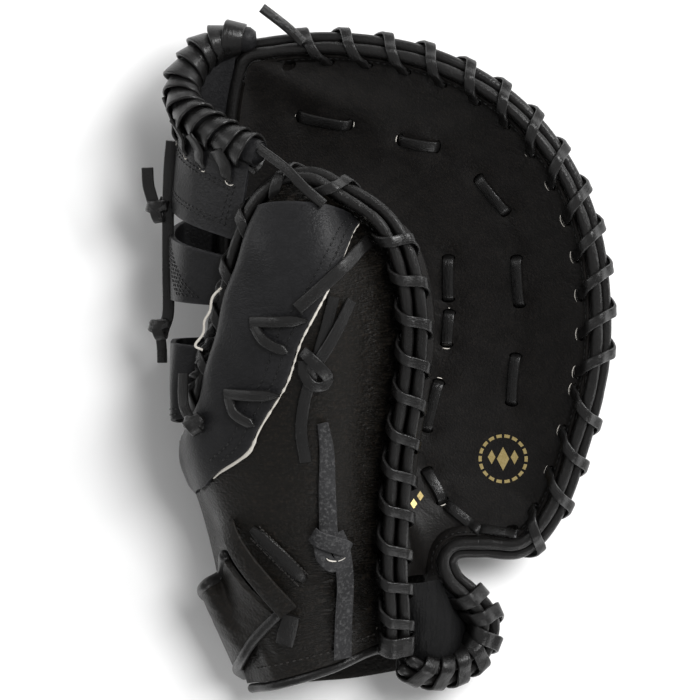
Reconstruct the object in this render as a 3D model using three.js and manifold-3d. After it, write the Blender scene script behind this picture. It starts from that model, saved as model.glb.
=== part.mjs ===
// A left-hand first baseman's mitt, lying closed on the back of its finger shell. The palm
// leather is one sheet that folds round the pocket, the finger and thumb backs cover the
// hand, rolled welts close every edge, and flat rawhide lace binds it all and hangs the web.
// Axes: +Y runs from the wrist to the finger tips, +X from the web to the little finger
// side, +Z up from the floor. The origin is on the flat floor side, below the pocket.

import * as THREE from "three";
import Module from "manifold-3d";
import { mergeVertices } from "three/addons/utils/BufferGeometryUtils.js";

const wasm = await Module();
wasm.setup();

// Overall sizes, in millimetres
const mittLength = 320; // wrist edge to the crest of the finger shell
const mittWidth = 220; // web spine to the finger rim
const mittHeight = 115; // floor to the crown of the thumb

// Leather, welts and lace
const palmThickness = 2.6;
const backThickness = 2.2;
const webThickness = 2.4;
const heelPadThickness = 3.2;
const weltRadius = 2.8; // one rolled welt
const weltSpread = 3.3; // from the middle of the edge to each leather's middle
const laceWidth = 5.6;
const laceThickness = 1.5;
const lacePitch = 19; // from one lace hole to the next
const heelLacePitch = 16;
const webLacePitch = 21.5;
const holeInset = 5.5; // from the leather's edge to the lace holes
const edgeRun = 9; // how far the leather runs straight in from its edge
const webEdgeRun = 7; // the same along the edges of the web window
const edgeGap = 1.1; // the leathers stop this far inside the edge, short of the welts
const clearance = 0.3; // between two pieces that touch
const facetTolerance = 0.08; // how far facets may be merged away in the cut leathers
const laceLift = laceThickness / 2 + 2 * clearance; // lace middle over what it crosses

// Heights, lengths and widths in the tables below are shares of the three overall sizes,
// in percent: v runs from the wrist (0) to the tip (1), and lean turns the edge outwards.
const crotch = 0.42; // v where the web starts
const palmStart = 0.16; // v where the palm leather starts, above the heel pad

const HEEL_EDGE = [
  { v: 0, x: 5.5, y: -45.8, z: 40, lean: 60 },
  { v: 0.5, x: 9.5, y: -47.2, z: 36, lean: 58 },
  { v: 1, x: 15.0, y: -47.2, z: 30, lean: 55 },
];
const FINGER_RIM = [
  { v: 0.0, x: 20.5, y: -44.8, z: 25, lean: 50 },
  { v: 0.05, x: 22.5, y: -40.5, z: 26, lean: 50 },
  { v: 0.1, x: 19.0, y: -37.0, z: 29, lean: 45 },
  { v: 0.15, x: 14.5, y: -34.0, z: 31, lean: 40 },
  { v: 0.19, x: 13.3, y: -31.0, z: 32, lean: 40 },
  { v: 0.23, x: 15.5, y: -28.9, z: 33, lean: 40 },
  { v: 0.28, x: 22.0, y: -28.5, z: 33, lean: 40 },
  { v: 0.33, x: 30.0, y: -28.5, z: 33, lean: 42 },
  { v: 0.38, x: 36.0, y: -24.0, z: 35, lean: 45 },
  { v: 0.45, x: 41.5, y: -13.8, z: 39, lean: 45 },
  { v: 0.52, x: 45.4, y: -3.0, z: 43, lean: 42 },
  { v: 0.59, x: 45.8, y: 7.7, z: 45, lean: 42 },
  { v: 0.66, x: 43.5, y: 17.7, z: 47, lean: 42 },
  { v: 0.74, x: 37.0, y: 27.7, z: 48, lean: 45 },
  { v: 0.82, x: 25.6, y: 36.4, z: 48, lean: 48 },
  { v: 0.89, x: 10.0, y: 42.1, z: 47, lean: 50 },
  { v: 0.95, x: -9.0, y: 44.4, z: 45, lean: 50 },
  { v: 1.0, x: -24.0, y: 43.8, z: 43, lean: 48 },
];
const FINGER_CORNER = [{ x: -28.8, y: 42.9, z: 42, lean: 45 }];
const FINGER_WEB_EDGE = [
  { v: 1.0, x: -30.8, y: 39.5, z: 39, lean: 40 },
  { v: 0.85, x: -33.2, y: 24.0, z: 30, lean: 30 },
  { v: 0.7, x: -33.8, y: 9.0, z: 24, lean: 25 },
  { v: 0.55, x: -34.5, y: -3.0, z: 24, lean: 25 },
  { v: crotch, x: -31.5, y: -11.0, z: 33, lean: 30 },
];
const THUMB_RIM = [
  { v: 0.0, x: 3.0, y: -44.0, z: 43, lean: 60 },
  { v: 0.1, x: 3.0, y: -38.0, z: 49, lean: 70 },
  { v: 0.2, x: 2.5, y: -31.5, z: 54, lean: 75 },
  { v: 0.3, x: 3.0, y: -24.0, z: 60, lean: 80 },
  { v: 0.42, x: 4.0, y: -14.5, z: 68, lean: 80 },
  { v: 0.55, x: 6.0, y: -4.5, z: 76, lean: 80 },
  { v: 0.67, x: 6.5, y: 5.0, z: 82, lean: 80 },
  { v: 0.8, x: 4.0, y: 13.5, z: 85, lean: 75 },
  { v: 0.9, x: -0.5, y: 18.5, z: 86, lean: 60 },
  { v: 1.0, x: -8.5, y: 22.0, z: 85, lean: 45 },
];
const THUMB_CORNER = [
  { x: -14.5, y: 24.0, z: 85, lean: 30 },
  { x: -20.5, y: 23.5, z: 84, lean: 15 },
];
const THUMB_WEB_EDGE = [
  { v: 1.0, x: -25.0, y: 21.0, z: 83, lean: 5 },
  { v: 0.85, x: -28.8, y: 14.5, z: 80, lean: -10 },
  { v: 0.7, x: -31.8, y: 6.0, z: 73, lean: -20 },
  { v: 0.55, x: -36.0, y: -4.5, z: 64, lean: -25 },
  { v: crotch, x: -37.5, y: -11.5, z: 57, lean: -30 },
];

// Rails that carry the palm leather from the finger rim to the thumb rim
const PALM_RAILS = {
  fingerMiddle: [
    { v: 0.16, x: 10.8, y: -33.2, z: 27 },
    { v: 0.23, x: 12.4, y: -27.9, z: 31 },
    { v: 0.3, x: 22.5, y: -25.3, z: 29 },
    { v: 0.42, x: 27.0, y: -15.5, z: 28 },
    { v: 0.55, x: 29.0, y: -3.0, z: 28 },
    { v: 0.7, x: 27.0, y: 13.0, z: 29 },
    { v: 0.85, x: 11.5, y: 29.0, z: 32 },
    { v: 1.0, x: -26.5, y: 42.2, z: 44 },
  ],
  pocketFloor: [
    { v: 0.16, x: 9.6, y: -33.2, z: 29 },
    { v: 0.23, x: 11.0, y: -28.0, z: 32 },
    { v: 0.3, x: 18.5, y: -24.8, z: 29 },
    { v: 0.42, x: 10.5, y: -13.5, z: 25 },
    { v: 0.55, x: 8.5, y: -1.5, z: 23 },
    { v: 0.7, x: 6.5, y: 12.0, z: 22 },
    { v: 0.85, x: -2.5, y: 27.0, z: 25 },
    { v: 1.0, x: -29.0, y: 41.5, z: 43 },
  ],
  fingerSide: [
    { v: 0.16, x: 8.4, y: -33.2, z: 31.5 },
    { v: 0.23, x: 9.6, y: -28.2, z: 34.5 },
    { v: 0.3, x: 12.0, y: -24.4, z: 33 },
    { v: 0.36, x: -12.0, y: -16.5, z: 28 },
    { v: 0.42, x: -31.5, y: -11.0, z: 33 },
  ],
  fold: [
    { v: 0.16, x: 7.2, y: -33.2, z: 34.5 },
    { v: 0.23, x: 8.4, y: -28.4, z: 37.5 },
    { v: 0.3, x: 10.0, y: -24.2, z: 38 },
    { v: 0.36, x: -18.0, y: -17.0, z: 39 },
    { v: 0.42, x: -38.5, y: -12.0, z: 43 },
    { v: 1.0, x: -38.5, y: 30.0, z: 60 },
  ],
  thumbSide: [
    { v: 0.16, x: 6.2, y: -33.2, z: 37.5 },
    { v: 0.23, x: 7.4, y: -28.6, z: 41 },
    { v: 0.3, x: 9.0, y: -24.1, z: 43 },
    { v: 0.36, x: -16.0, y: -17.0, z: 49 },
    { v: 0.42, x: -37.5, y: -11.5, z: 57 },
  ],
  thumbUnder: [
    { v: 0.16, x: 5.2, y: -33.3, z: 41 },
    { v: 0.23, x: 6.6, y: -28.8, z: 44.5 },
    { v: 0.3, x: 8.2, y: -24.1, z: 48 },
    { v: 0.42, x: -11.0, y: -13.0, z: 51 },
    { v: 0.55, x: -11.0, y: -3.5, z: 56 },
    { v: 0.7, x: -11.0, y: 6.5, z: 61 },
    { v: 0.85, x: -11.0, y: 15.5, z: 68 },
    { v: 1.0, x: -18.0, y: 23.5, z: 82 },
  ],
  thumbSwell: [
    { v: 0.16, x: 4.6, y: -33.4, z: 44.5 },
    { v: 0.23, x: 5.8, y: -29.0, z: 48 },
    { v: 0.3, x: 7.0, y: -24.1, z: 53 },
    { v: 0.42, x: 9.0, y: -14.5, z: 57 },
    { v: 0.55, x: 11.8, y: -4.5, z: 63 },
    { v: 0.67, x: 12.8, y: 4.5, z: 68 },
    { v: 0.8, x: 10.5, y: 13.0, z: 73 },
    { v: 0.9, x: 5.5, y: 18.5, z: 76 },
    { v: 1.0, x: -12.0, y: 23.4, z: 82 },
  ],
};

// Rails of the finger back, which lies on the floor, and of the thumb back
const BACK_RAILS = {
  belly: [
    { v: 0.0, x: 18.0, y: -46.0, z: 4 },
    { v: 0.15, x: 11.0, y: -36.0, z: 6 },
    { v: 0.3, x: 22.5, y: -26.0, z: 8 },
    { v: 0.42, x: 35.0, y: -18.5, z: 10 },
    { v: 0.55, x: 41.0, y: -2.5, z: 12 },
    { v: 0.7, x: 38.0, y: 18.0, z: 13 },
    { v: 0.85, x: 17.0, y: 36.0, z: 14 },
    { v: 1.0, x: -26.0, y: 42.2, z: 38 },
  ],
  floorLine: [
    { v: 0.0, x: -4.5, y: -49.5, z: -2 },
    { v: 0.15, x: -9.0, y: -38.0, z: -3 },
    { v: 0.3, x: -3.0, y: -26.0, z: -4 },
    { v: 0.42, x: -3.0, y: -13.5, z: -5 },
    { v: 0.55, x: -4.0, y: 0.0, z: -5 },
    { v: 0.7, x: -4.0, y: 15.0, z: -4 },
    { v: 0.85, x: -9.0, y: 29.0, z: 0 },
    { v: 1.0, x: -28.8, y: 41.5, z: 37 },
  ],
  handBackLow: [
    { v: 0.0, x: -23.0, y: -50.5, z: 7 },
    { v: 0.15, x: -29.5, y: -38.5, z: 8 },
    { v: 0.3, x: -33.5, y: -25.5, z: 9 },
    { v: 0.42, x: -38.5, y: -13.5, z: 14 },
  ],
  handBackLeft: [
    { v: 0.0, x: -28.5, y: -49.5, z: 26 },
    { v: 0.15, x: -33.0, y: -38.5, z: 30 },
    { v: 0.3, x: -37.5, y: -25.0, z: 37 },
    { v: 0.42, x: -43.0, y: -13.5, z: 44 },
  ],
  handBackHigh: [
    { v: 0.0, x: -22.5, y: -48.5, z: 42 },
    { v: 0.15, x: -27.0, y: -36.5, z: 54 },
    { v: 0.3, x: -32.5, y: -23.0, z: 64 },
    { v: 0.42, x: -37.0, y: -12.5, z: 70 },
    { v: 0.55, x: -34.5, y: -4.0, z: 79 },
    { v: 0.7, x: -30.5, y: 6.5, z: 87 },
    { v: 0.85, x: -26.5, y: 15.0, z: 92 },
    { v: 1.0, x: -22.0, y: 23.0, z: 88 },
  ],
  crown: [
    { v: 0.0, x: -11.0, y: -46.0, z: 49 },
    { v: 0.15, x: -11.0, y: -35.0, z: 61 },
    { v: 0.3, x: -12.0, y: -23.0, z: 75 },
    { v: 0.42, x: -13.0, y: -13.0, z: 85 },
    { v: 0.55, x: -13.0, y: -3.5, z: 92 },
    { v: 0.7, x: -12.0, y: 5.5, z: 97 },
    { v: 0.85, x: -12.0, y: 14.0, z: 97 },
    { v: 1.0, x: -15.0, y: 24.0, z: 88 },
  ],
};

const HEEL_RAILS = {
  outer: [
    { v: 0.0, x: 15.0, y: -46.8, z: 31 },
    { v: 0.08, x: 14.5, y: -39.5, z: 37 },
    { v: 0.2, x: 10.2, y: -30.5, z: 30 },
  ],
  inner: [
    { v: 0.0, x: 9.5, y: -46.8, z: 37 },
    { v: 0.08, x: 8.5, y: -39.5, z: 45 },
    { v: 0.2, x: 6.8, y: -30.8, z: 38 },
  ],
};

// The fold line of the web, seen as the mitt's left outline, and the bar along its top
const WEB_SPINE = [
  { v: 0.42, x: -42.0, y: -13.0, z: 44 },
  { v: 0.55, x: -43.0, y: -3.0, z: 45 },
  { v: 0.7, x: -43.2, y: 7.5, z: 47 },
  { v: 0.85, x: -43.0, y: 19.5, z: 52 },
  { v: 1.0, x: -41.0, y: 33.5, z: 58 },
];
const WEB_BAR = [
  { x: -33.9, y: 45.0, z: 47.8 },
  { x: -38.9, y: 42.7, z: 52.2 },
  { x: -41.8, y: 39.0, z: 57.4 },
  { x: -41.4, y: 35.5, z: 64.3 },
  { x: -37.0, y: 32.4, z: 73.0 },
  { x: -30.6, y: 29.6, z: 79.0 },
  { x: -25.5, y: 28.0, z: 83.5 },
];

// The web's three panels, from v to v, with open windows between them
const WEB_TOP_FOOT = 0.865;
const WEB_MIDDLE = { from: 0.7, to: 0.82 };
const WEB_LOW = { from: 0.45, to: 0.615 };

// Right edge of the panel laid over the thumb back, and its left edge along the web
const PANEL_ROWS = [
  { v: 0.342, left: 0.22, right: 0.37 },
  { v: 0.36, left: 0.08, right: 0.42 },
  { v: 0.385, left: 0.05, right: 0.47 },
  { v: 0.44, left: 0.25, right: 0.506 },
  { v: 0.53, left: 0.27, right: 0.543 },
  { v: 0.64, left: 0.27, right: 0.562 },
  { v: 0.74, left: 0.27, right: 0.597 },
  { v: 0.83, left: 0.27, right: 0.64 },
  { v: 0.89, left: 0.28, right: 0.695 },
  { v: 0.945, left: 0.32, right: 0.79 },
];

// Routes of the laces that lie on a leather, in its own u and v; layer counts what is under
const PALM_LACE_OUTER = [
  { u: 0.26, v: 0.932 },
  { u: 0.208, v: 0.911 },
  { u: 0.178, v: 0.879 },
  { u: 0.155, v: 0.853 },
  { u: 0.148, v: 0.8 },
  { u: 0.143, v: 0.748 },
  { u: 0.153, v: 0.696 },
  { u: 0.16, v: 0.638 },
  { u: 0.165, v: 0.57 },
  { u: 0.168, v: 0.501 },
];
const PALM_LACE_INNER = [
  { u: 0.217, v: 0.717 },
  { u: 0.225, v: 0.653 },
  { u: 0.225, v: 0.632 },
  { u: 0.228, v: 0.58 },
  { u: 0.236, v: 0.517 },
  { u: 0.25, v: 0.438 },
];
const PALM_LACE_HEEL = [
  { u: 0.267, v: 0.37 },
  { u: 0.287, v: 0.323 },
];

const up = new THREE.Vector3(0, 0, 1);
const shareOfSize = new THREE.Vector3(mittWidth, mittLength, mittHeight).divideScalar(100);
const place = (row) => new THREE.Vector3(row.x, row.y, row.z).multiply(shareOfSize);

// A rail is a smooth curve through its rows, read at v
function railPoint(rows, v) {
  let k = 0;
  while (k < rows.length - 2 && v > rows[k + 1].v) k += 1;
  const before = rows[Math.max(k - 1, 0)];
  const a = rows[k];
  const b = rows[k + 1];
  const after = rows[Math.min(k + 2, rows.length - 1)];
  const span = b.v - a.v;
  const s = THREE.MathUtils.clamp((v - a.v) / span, 0, 1);
  const read = (key) => {
    const slopeA = ((b[key] - before[key]) / (b.v - before.v)) * span;
    const slopeB = ((after[key] - a[key]) / (after.v - a.v)) * span;
    const rise = b[key] - a[key];
    const bend = slopeA + slopeB - 2 * rise;
    return a[key] + s * (slopeA + s * (3 * rise - 2 * slopeA - slopeB + s * bend));
  };
  return place({ x: read("x"), y: read("y"), z: read("z") });
}

// An edge is a path that knows, at every point, its way along, its way out of the leather
// and the side where the palm leather lies
function makeEdge(parts, palmSide) {
  const stops = parts.flatMap(({ part, rows }) => rows.map((row) => ({ part, ...row })));
  const curve = new THREE.CatmullRomCurve3(stops.map(place), false, "centripetal");
  const stepsPerStop = 16;
  const steps = stepsPerStop * (stops.length - 1);
  const lengths = curve.getLengths(steps);

  function frameAtKnot(knot) {
    const t = knot / (stops.length - 1);
    const low = Math.min(Math.floor(knot), stops.length - 2);
    const lean = THREE.MathUtils.lerp(stops[low].lean, stops[low + 1].lean, knot - low);
    const angle = THREE.MathUtils.degToRad(lean);
    const along = curve.getTangent(t);
    const side = new THREE.Vector3().crossVectors(along, up).normalize();
    const rise = new THREE.Vector3().crossVectors(side, along).normalize();
    const out = side.clone().multiplyScalar(Math.cos(angle)).addScaledVector(rise, Math.sin(angle));
    const palm = rise.multiplyScalar(Math.cos(angle)).addScaledVector(side, -Math.sin(angle));
    return { point: curve.getPoint(t), along, out, palm: palm.multiplyScalar(palmSide) };
  }

  function knotOf(part, v) {
    const first = stops.findIndex((stop) => stop.part === part);
    let last = first;
    while (last + 1 < stops.length && stops[last + 1].part === part) last += 1;
    let k = first;
    const ahead = (i) => (stops[last].v > stops[first].v ? v > stops[i].v : v < stops[i].v);
    while (k < last - 1 && ahead(k + 1)) k += 1;
    return k + THREE.MathUtils.clamp((v - stops[k].v) / (stops[k + 1].v - stops[k].v), 0, 1);
  }

  const lengthAtKnot = (knot) => lengths[Math.round(knot * stepsPerStop)];
  function knotAtLength(s) {
    let i = 0;
    while (i < steps - 1 && lengths[i + 1] < s) i += 1;
    return (i + (s - lengths[i]) / (lengths[i + 1] - lengths[i])) / stepsPerStop;
  }

  return {
    length: lengths[steps],
    at: (part, v) => frameAtKnot(knotOf(part, v)),
    lengthAt: (part, v) => lengthAtKnot(knotOf(part, v)),
    atLength: (s) => frameAtKnot(knotAtLength(THREE.MathUtils.clamp(s, 0, lengths[steps]))),
    vAtLength: (s) => {
      const knot = knotAtLength(s);
      const low = Math.min(Math.floor(knot), stops.length - 2);
      return THREE.MathUtils.lerp(stops[low].v, stops[low + 1].v, knot - low);
    },
    between: (share) => {
      const from = knotOf("rim", 1);
      return frameAtKnot(THREE.MathUtils.lerp(from, knotOf("web", 1), share));
    },
  };
}

const fingerEdge = makeEdge(
  [
    { part: "heel", rows: HEEL_EDGE },
    { part: "rim", rows: FINGER_RIM },
    { part: "corner", rows: FINGER_CORNER },
    { part: "web", rows: FINGER_WEB_EDGE },
  ],
  1,
);
const thumbEdge = makeEdge(
  [
    { part: "rim", rows: THUMB_RIM },
    { part: "corner", rows: THUMB_CORNER },
    { part: "web", rows: THUMB_WEB_EDGE },
  ],
  -1,
);

// A point beside an edge: out of the leather, and towards the palm leather
const beside = (frame, outwards, palmwards) =>
  frame.point.clone().addScaledVector(frame.out, outwards).addScaledVector(frame.palm, palmwards);

const smooth = (from, to, v) => THREE.MathUtils.smoothstep(v, from, to);

// Where a leather runs into the edge of the web window, at the edge and a little inside it.
// Below the crotch there is no window, and the leather passes a rail instead.
function webEnd(edge, v, palmwards, rail, next) {
  if (v >= crotch) {
    const frame = edge.at("web", v);
    return { end: beside(frame, -edgeGap, palmwards), inside: beside(frame, -webEdgeRun, palmwards) };
  }
  return { end: rail, inside: rail.clone().lerp(next, 0.25) };
}

// Control points across the leathers at v
function palmSection(v) {
  const tip = v >= 1;
  const rail = (name) => railPoint(PALM_RAILS[name], v);
  const finger = fingerEdge.at("rim", v);
  const thumb = thumbEdge.at("rim", v);
  const near = (edge, share) => beside(edge.between(share), -edgeGap, weltSpread);
  const fingerWeb = webEnd(fingerEdge, v, weltSpread, rail("fingerSide"), rail("pocketFloor"));
  const thumbWeb = webEnd(thumbEdge, v, weltSpread, rail("thumbSide"), rail("thumbUnder"));
  return [
    beside(finger, -edgeGap, weltSpread),
    tip ? near(fingerEdge, 0.15) : beside(finger, -edgeRun, weltSpread),
    tip ? near(fingerEdge, 0.35) : rail("fingerMiddle"),
    tip ? near(fingerEdge, 0.6) : rail("pocketFloor"),
    tip ? near(fingerEdge, 0.85) : fingerWeb.inside,
    fingerWeb.end,
    rail("fold"),
    thumbWeb.end,
    tip ? near(thumbEdge, 0.85) : thumbWeb.inside,
    tip ? near(thumbEdge, 0.6) : rail("thumbUnder"),
    tip ? near(thumbEdge, 0.35) : rail("thumbSwell"),
    tip ? near(thumbEdge, 0.15) : beside(thumb, -edgeRun, weltSpread),
    beside(thumb, -edgeGap, weltSpread),
  ];
}

// Below the web the backs stop at the open back of the hand; above it they reach its edges
const backReach = (v) => smooth(crotch - 0.02, crotch + 0.1, v);

function backWebEnd(edge, v, rail, next) {
  const frame = edge.at("web", Math.max(v, crotch));
  const reach = backReach(v);
  return {
    end: rail.clone().lerp(beside(frame, -edgeGap, -weltSpread), reach),
    inside: rail.clone().lerp(next, 0.25).lerp(beside(frame, -webEdgeRun, -weltSpread), reach),
  };
}

function fingerBackSection(v) {
  const tip = v >= 1;
  const rail = (name) => railPoint(BACK_RAILS[name], v);
  const finger = fingerEdge.at("rim", v);
  const near = (share) => beside(fingerEdge.between(share), -edgeGap, -weltSpread);
  const web = backWebEnd(fingerEdge, v, rail("handBackLow"), rail("floorLine"));
  return [
    beside(finger, -edgeGap, -weltSpread),
    tip ? near(0.2) : beside(finger, -edgeRun, -weltSpread),
    tip ? near(0.4) : rail("belly"),
    tip ? near(0.6) : rail("floorLine"),
    tip ? near(0.8) : web.inside,
    web.end,
  ];
}

function thumbBackSection(v) {
  const tip = v >= 1;
  const rail = (name) => railPoint(BACK_RAILS[name], v);
  const thumb = thumbEdge.at("rim", v);
  const near = (share) => beside(thumbEdge.between(share), -edgeGap, -weltSpread);
  const web = backWebEnd(thumbEdge, v, rail("handBackLeft"), rail("handBackHigh"));
  return [
    web.end,
    tip ? near(0.8) : web.inside,
    tip ? near(0.6) : rail("handBackHigh"),
    tip ? near(0.4) : rail("crown"),
    tip ? near(0.2) : beside(thumb, -edgeRun, -weltSpread),
    beside(thumb, -edgeGap, -weltSpread),
  ];
}

function heelSection(v) {
  const finger = fingerEdge.at("rim", v);
  const thumb = thumbEdge.at("rim", v);
  return [
    beside(finger, -edgeGap, weltSpread),
    beside(finger, -edgeRun, weltSpread),
    railPoint(HEEL_RAILS.outer, v),
    railPoint(HEEL_RAILS.inner, v),
    beside(thumb, -edgeRun, weltSpread),
    beside(thumb, -edgeGap, weltSpread),
  ];
}

function webSection(v) {
  const reach = weltMiddle + overWelt + laceThickness + 2 * clearance;
  const finger = beside(fingerEdge.at("web", v), reach, 0);
  const thumb = beside(thumbEdge.at("web", v), reach, 0);
  const spine = railPoint(WEB_SPINE, v);
  const belly = 0.06 * mittHeight;
  const left = new THREE.Vector3(-belly, 0, 0);
  return [
    finger,
    finger.clone().lerp(spine, 0.5).add(left).addScaledVector(up, -belly),
    spine,
    thumb.clone().lerp(spine, 0.5).add(left).addScaledVector(up, belly),
    thumb,
  ];
}

// A surface is read at u across the section and v along the mitt
const surfaceOf = (section) => (u, v) =>
  new THREE.CatmullRomCurve3(section(v), false, "centripetal").getPoint(u);

const steps = (from, to, count) =>
  Array.from({ length: count + 1 }, (_, i) => THREE.MathUtils.lerp(from, to, i / count));

// Values of u that split each span between control points into whole cells
function splitSpans(cells) {
  const spans = cells.length;
  return cells
    .flatMap((count, span) => Array.from({ length: count }, (_, i) => (span + i / count) / spans))
    .concat([1]);
}

// Closed meshes
function closedGeometry(points, triangles) {
  const volume = triangles.reduce(
    (sum, [a, b, c]) => sum + points[a].dot(new THREE.Vector3().crossVectors(points[b], points[c])),
    0,
  );
  const turned = volume < 0 ? triangles.map(([a, b, c]) => [a, c, b]) : triangles;
  const geometry = new THREE.BufferGeometry().setFromPoints(points);
  geometry.setIndex(turned.flat());
  return geometry;
}

function gridNormals(grid) {
  const last = grid.length - 1;
  const end = grid[0].length - 1;
  return grid.map((row, j) =>
    row.map((_, i) => {
      const across = row[Math.min(i + 1, end)].clone().sub(row[Math.max(i - 1, 0)]);
      const along = grid[Math.min(j + 1, last)][i].clone().sub(grid[Math.max(j - 1, 0)][i]);
      return across.cross(along).normalize();
    }),
  );
}

// A wall of even thickness on a grid of points, with the cells that keep says
function wall(grid, thickness, { keep = () => true, lift = 0, adjust = (point) => point } = {}) {
  const normals = gridNormals(grid);
  const shift = (side) =>
    grid.map((row, j) =>
      row.map((point, i) => adjust(point.clone().addScaledVector(normals[j][i], lift + side), side)),
    );
  const faces = [shift(thickness / 2), shift(-thickness / 2)];
  const rows = grid.length;
  const columns = grid[0].length;
  const points = faces.flatMap((face) => face.flat());
  const index = (face, j, i) => face * rows * columns + j * columns + i;
  const kept = (j, i) => j >= 0 && i >= 0 && j < rows - 1 && i < columns - 1 && keep(j, i);
  const triangles = [];
  const quad = (a, b, c, d) => triangles.push([a, b, c], [a, c, d]);
  for (let j = 0; j < rows - 1; j += 1) {
    for (let i = 0; i < columns - 1; i += 1) {
      if (!kept(j, i)) continue;
      const top = [[j, i], [j, i + 1], [j + 1, i + 1], [j + 1, i]];
      quad(...top.map(([y, x]) => index(0, y, x)));
      quad(...top.map(([y, x]) => index(1, y, x)).reverse());
      const side = (from, to) => quad(index(0, ...to), index(0, ...from), index(1, ...from), index(1, ...to));
      if (!kept(j - 1, i)) side(top[0], top[1]);
      if (!kept(j, i + 1)) side(top[1], top[2]);
      if (!kept(j + 1, i)) side(top[2], top[3]);
      if (!kept(j, i - 1)) side(top[3], top[0]);
    }
  }
  const used = [...new Set(triangles.flat())].sort((a, b) => a - b);
  const renumber = new Map(used.map((old, i) => [old, i]));
  return closedGeometry(used.map((i) => points[i]), triangles.map((t) => t.map((i) => renumber.get(i))));
}

// A flat strap through stations, each with a point and the way its width lies
function strap(stations, width, thickness) {
  const end = stations.length - 1;
  const points = stations.flatMap(({ point, across, widen = 1 }, i) => {
    const ahead = stations[Math.min(i + 1, end)].point;
    const behind = stations[Math.max(i - 1, 0)].point;
    const along = ahead.clone().sub(behind).normalize();
    const wide = across.clone().addScaledVector(along, -across.dot(along)).normalize();
    const thick = new THREE.Vector3().crossVectors(along, wide).multiplyScalar(thickness / 2);
    wide.multiplyScalar((widen * width) / 2);
    return [[1, 1], [-1, 1], [-1, -1], [1, -1]].map(([w, t]) =>
      point.clone().addScaledVector(wide, w).addScaledVector(thick, t),
    );
  });
  const triangles = [[0, 1, 2], [0, 2, 3]];
  const last = end * 4;
  triangles.push([last, last + 2, last + 1], [last, last + 3, last + 2]);
  for (let i = 0; i < end; i += 1) {
    for (let k = 0; k < 4; k += 1) {
      const a = i * 4 + k;
      const b = i * 4 + ((k + 1) % 4);
      triangles.push([a, a + 4, b], [b, a + 4, b + 4]);
    }
  }
  return closedGeometry(points, triangles);
}

// A curve whose stations are its own points
class StationCurve extends THREE.CatmullRomCurve3 {
  getUtoTmapping(u) {
    return u;
  }
}

// A round bar along points
function bar(points, radius, sides) {
  const round = new THREE.Shape(
    Array.from({ length: sides }, (_, i) => {
      const angle = (2 * Math.PI * i) / sides;
      return new THREE.Vector2(radius * Math.cos(angle), radius * Math.sin(angle));
    }),
  );
  const path = new StationCurve(points, false, "centripetal");
  return new THREE.ExtrudeGeometry(round, { steps: points.length - 1, extrudePath: path });
}

// Solids for cutting and joining
function solid(geometry) {
  const bare = geometry.clone();
  bare.deleteAttribute("normal");
  bare.deleteAttribute("uv");
  const merged = mergeVertices(bare, 1e-4);
  return new wasm.Manifold(
    new wasm.Mesh({
      numProp: 3,
      vertProperties: new Float32Array(merged.attributes.position.array),
      triVerts: new Uint32Array(merged.index.array),
    }),
  );
}

function geometryOf(manifold) {
  const mesh = manifold.getMesh();
  const geometry = new THREE.BufferGeometry();
  geometry.setAttribute("position", new THREE.BufferAttribute(mesh.vertProperties, 3));
  geometry.setIndex(new THREE.BufferAttribute(mesh.triVerts, 1));
  return geometry;
}

const largest = (manifold) => manifold.decompose().sort((a, b) => b.volume() - a.volume())[0];
const cut = (manifold, tools) => largest(tools.reduce((left, tool) => left.subtract(tool), manifold));

// Materials
const leather = (color, roughness) => new THREE.MeshStandardMaterial({ color, roughness, metalness: 0 });
const shellLeather = leather(0x1c1b1b, 0.55);
const backLeather = leather(0x231f1b, 0.7);
const webLeather = leather(0x202022, 0.6);
const weltLeather = leather(0x161616, 0.45);
const laceLeather = leather(0x141414, 0.5);

const mitt = new THREE.Group();
function addPiece(name, geometry, material) {
  geometry.computeVertexNormals();
  const mesh = new THREE.Mesh(geometry, material);
  mesh.name = name;
  mitt.add(mesh);
}

// Whip lace: at each hole it comes up through both leathers, crosses both welts and goes
// down to the next hole on the other side
const weltMiddle = weltRadius + clearance;
const overWelt = weltRadius + laceLift + clearance;
const cornerOut = weltMiddle + overWelt;
const WRAP = [
  { share: 0, out: -holeInset, palm: weltSpread + palmThickness / 2 + laceLift },
  { share: 0.25, out: weltMiddle - 0.5, palm: weltSpread + overWelt + 3 * clearance },
  { share: 0.42, out: cornerOut, palm: weltSpread + 0.6 * overWelt },
  { share: 0.58, out: cornerOut, palm: -weltSpread - 0.6 * overWelt },
  { share: 0.75, out: weltMiddle - 0.5, palm: -weltSpread - overWelt - 2 * clearance },
  { share: 1, out: -holeInset, palm: -weltSpread - backThickness / 2 - laceLift },
];

// The room a lace takes up in the leather it passes, with the gap around it
const roomOf = (stations, width = laceWidth) =>
  solid(strap(stations, width + 2 * clearance, laceThickness + 2 * clearance));

function whipLace({ name, edge, from, to, pitch = lacePitch, way }) {
  const span = edge.lengthAt(...to) - edge.lengthAt(...from);
  const count = Math.max(1, Math.round(span / pitch));
  const step = (way * span) / count;
  const start = way > 0 ? edge.lengthAt(...from) : edge.lengthAt(...to);
  const stations = [];
  const end = (frame) => stations.push({ point: beside(frame, -holeInset, 0), across: frame.along });
  end(edge.atLength(start));
  for (let k = 0; k < count; k += 1) {
    WRAP.forEach((row) => {
      const frame = edge.atLength(start + (k + row.share) * step);
      stations.push({ point: beside(frame, row.out, row.palm), across: frame.along });
    });
  }
  end(edge.atLength(start + count * step));
  const holes = steps(start, start + count * step, count);
  return { name, stations, room: roomOf(stations), holes };
}

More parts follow.
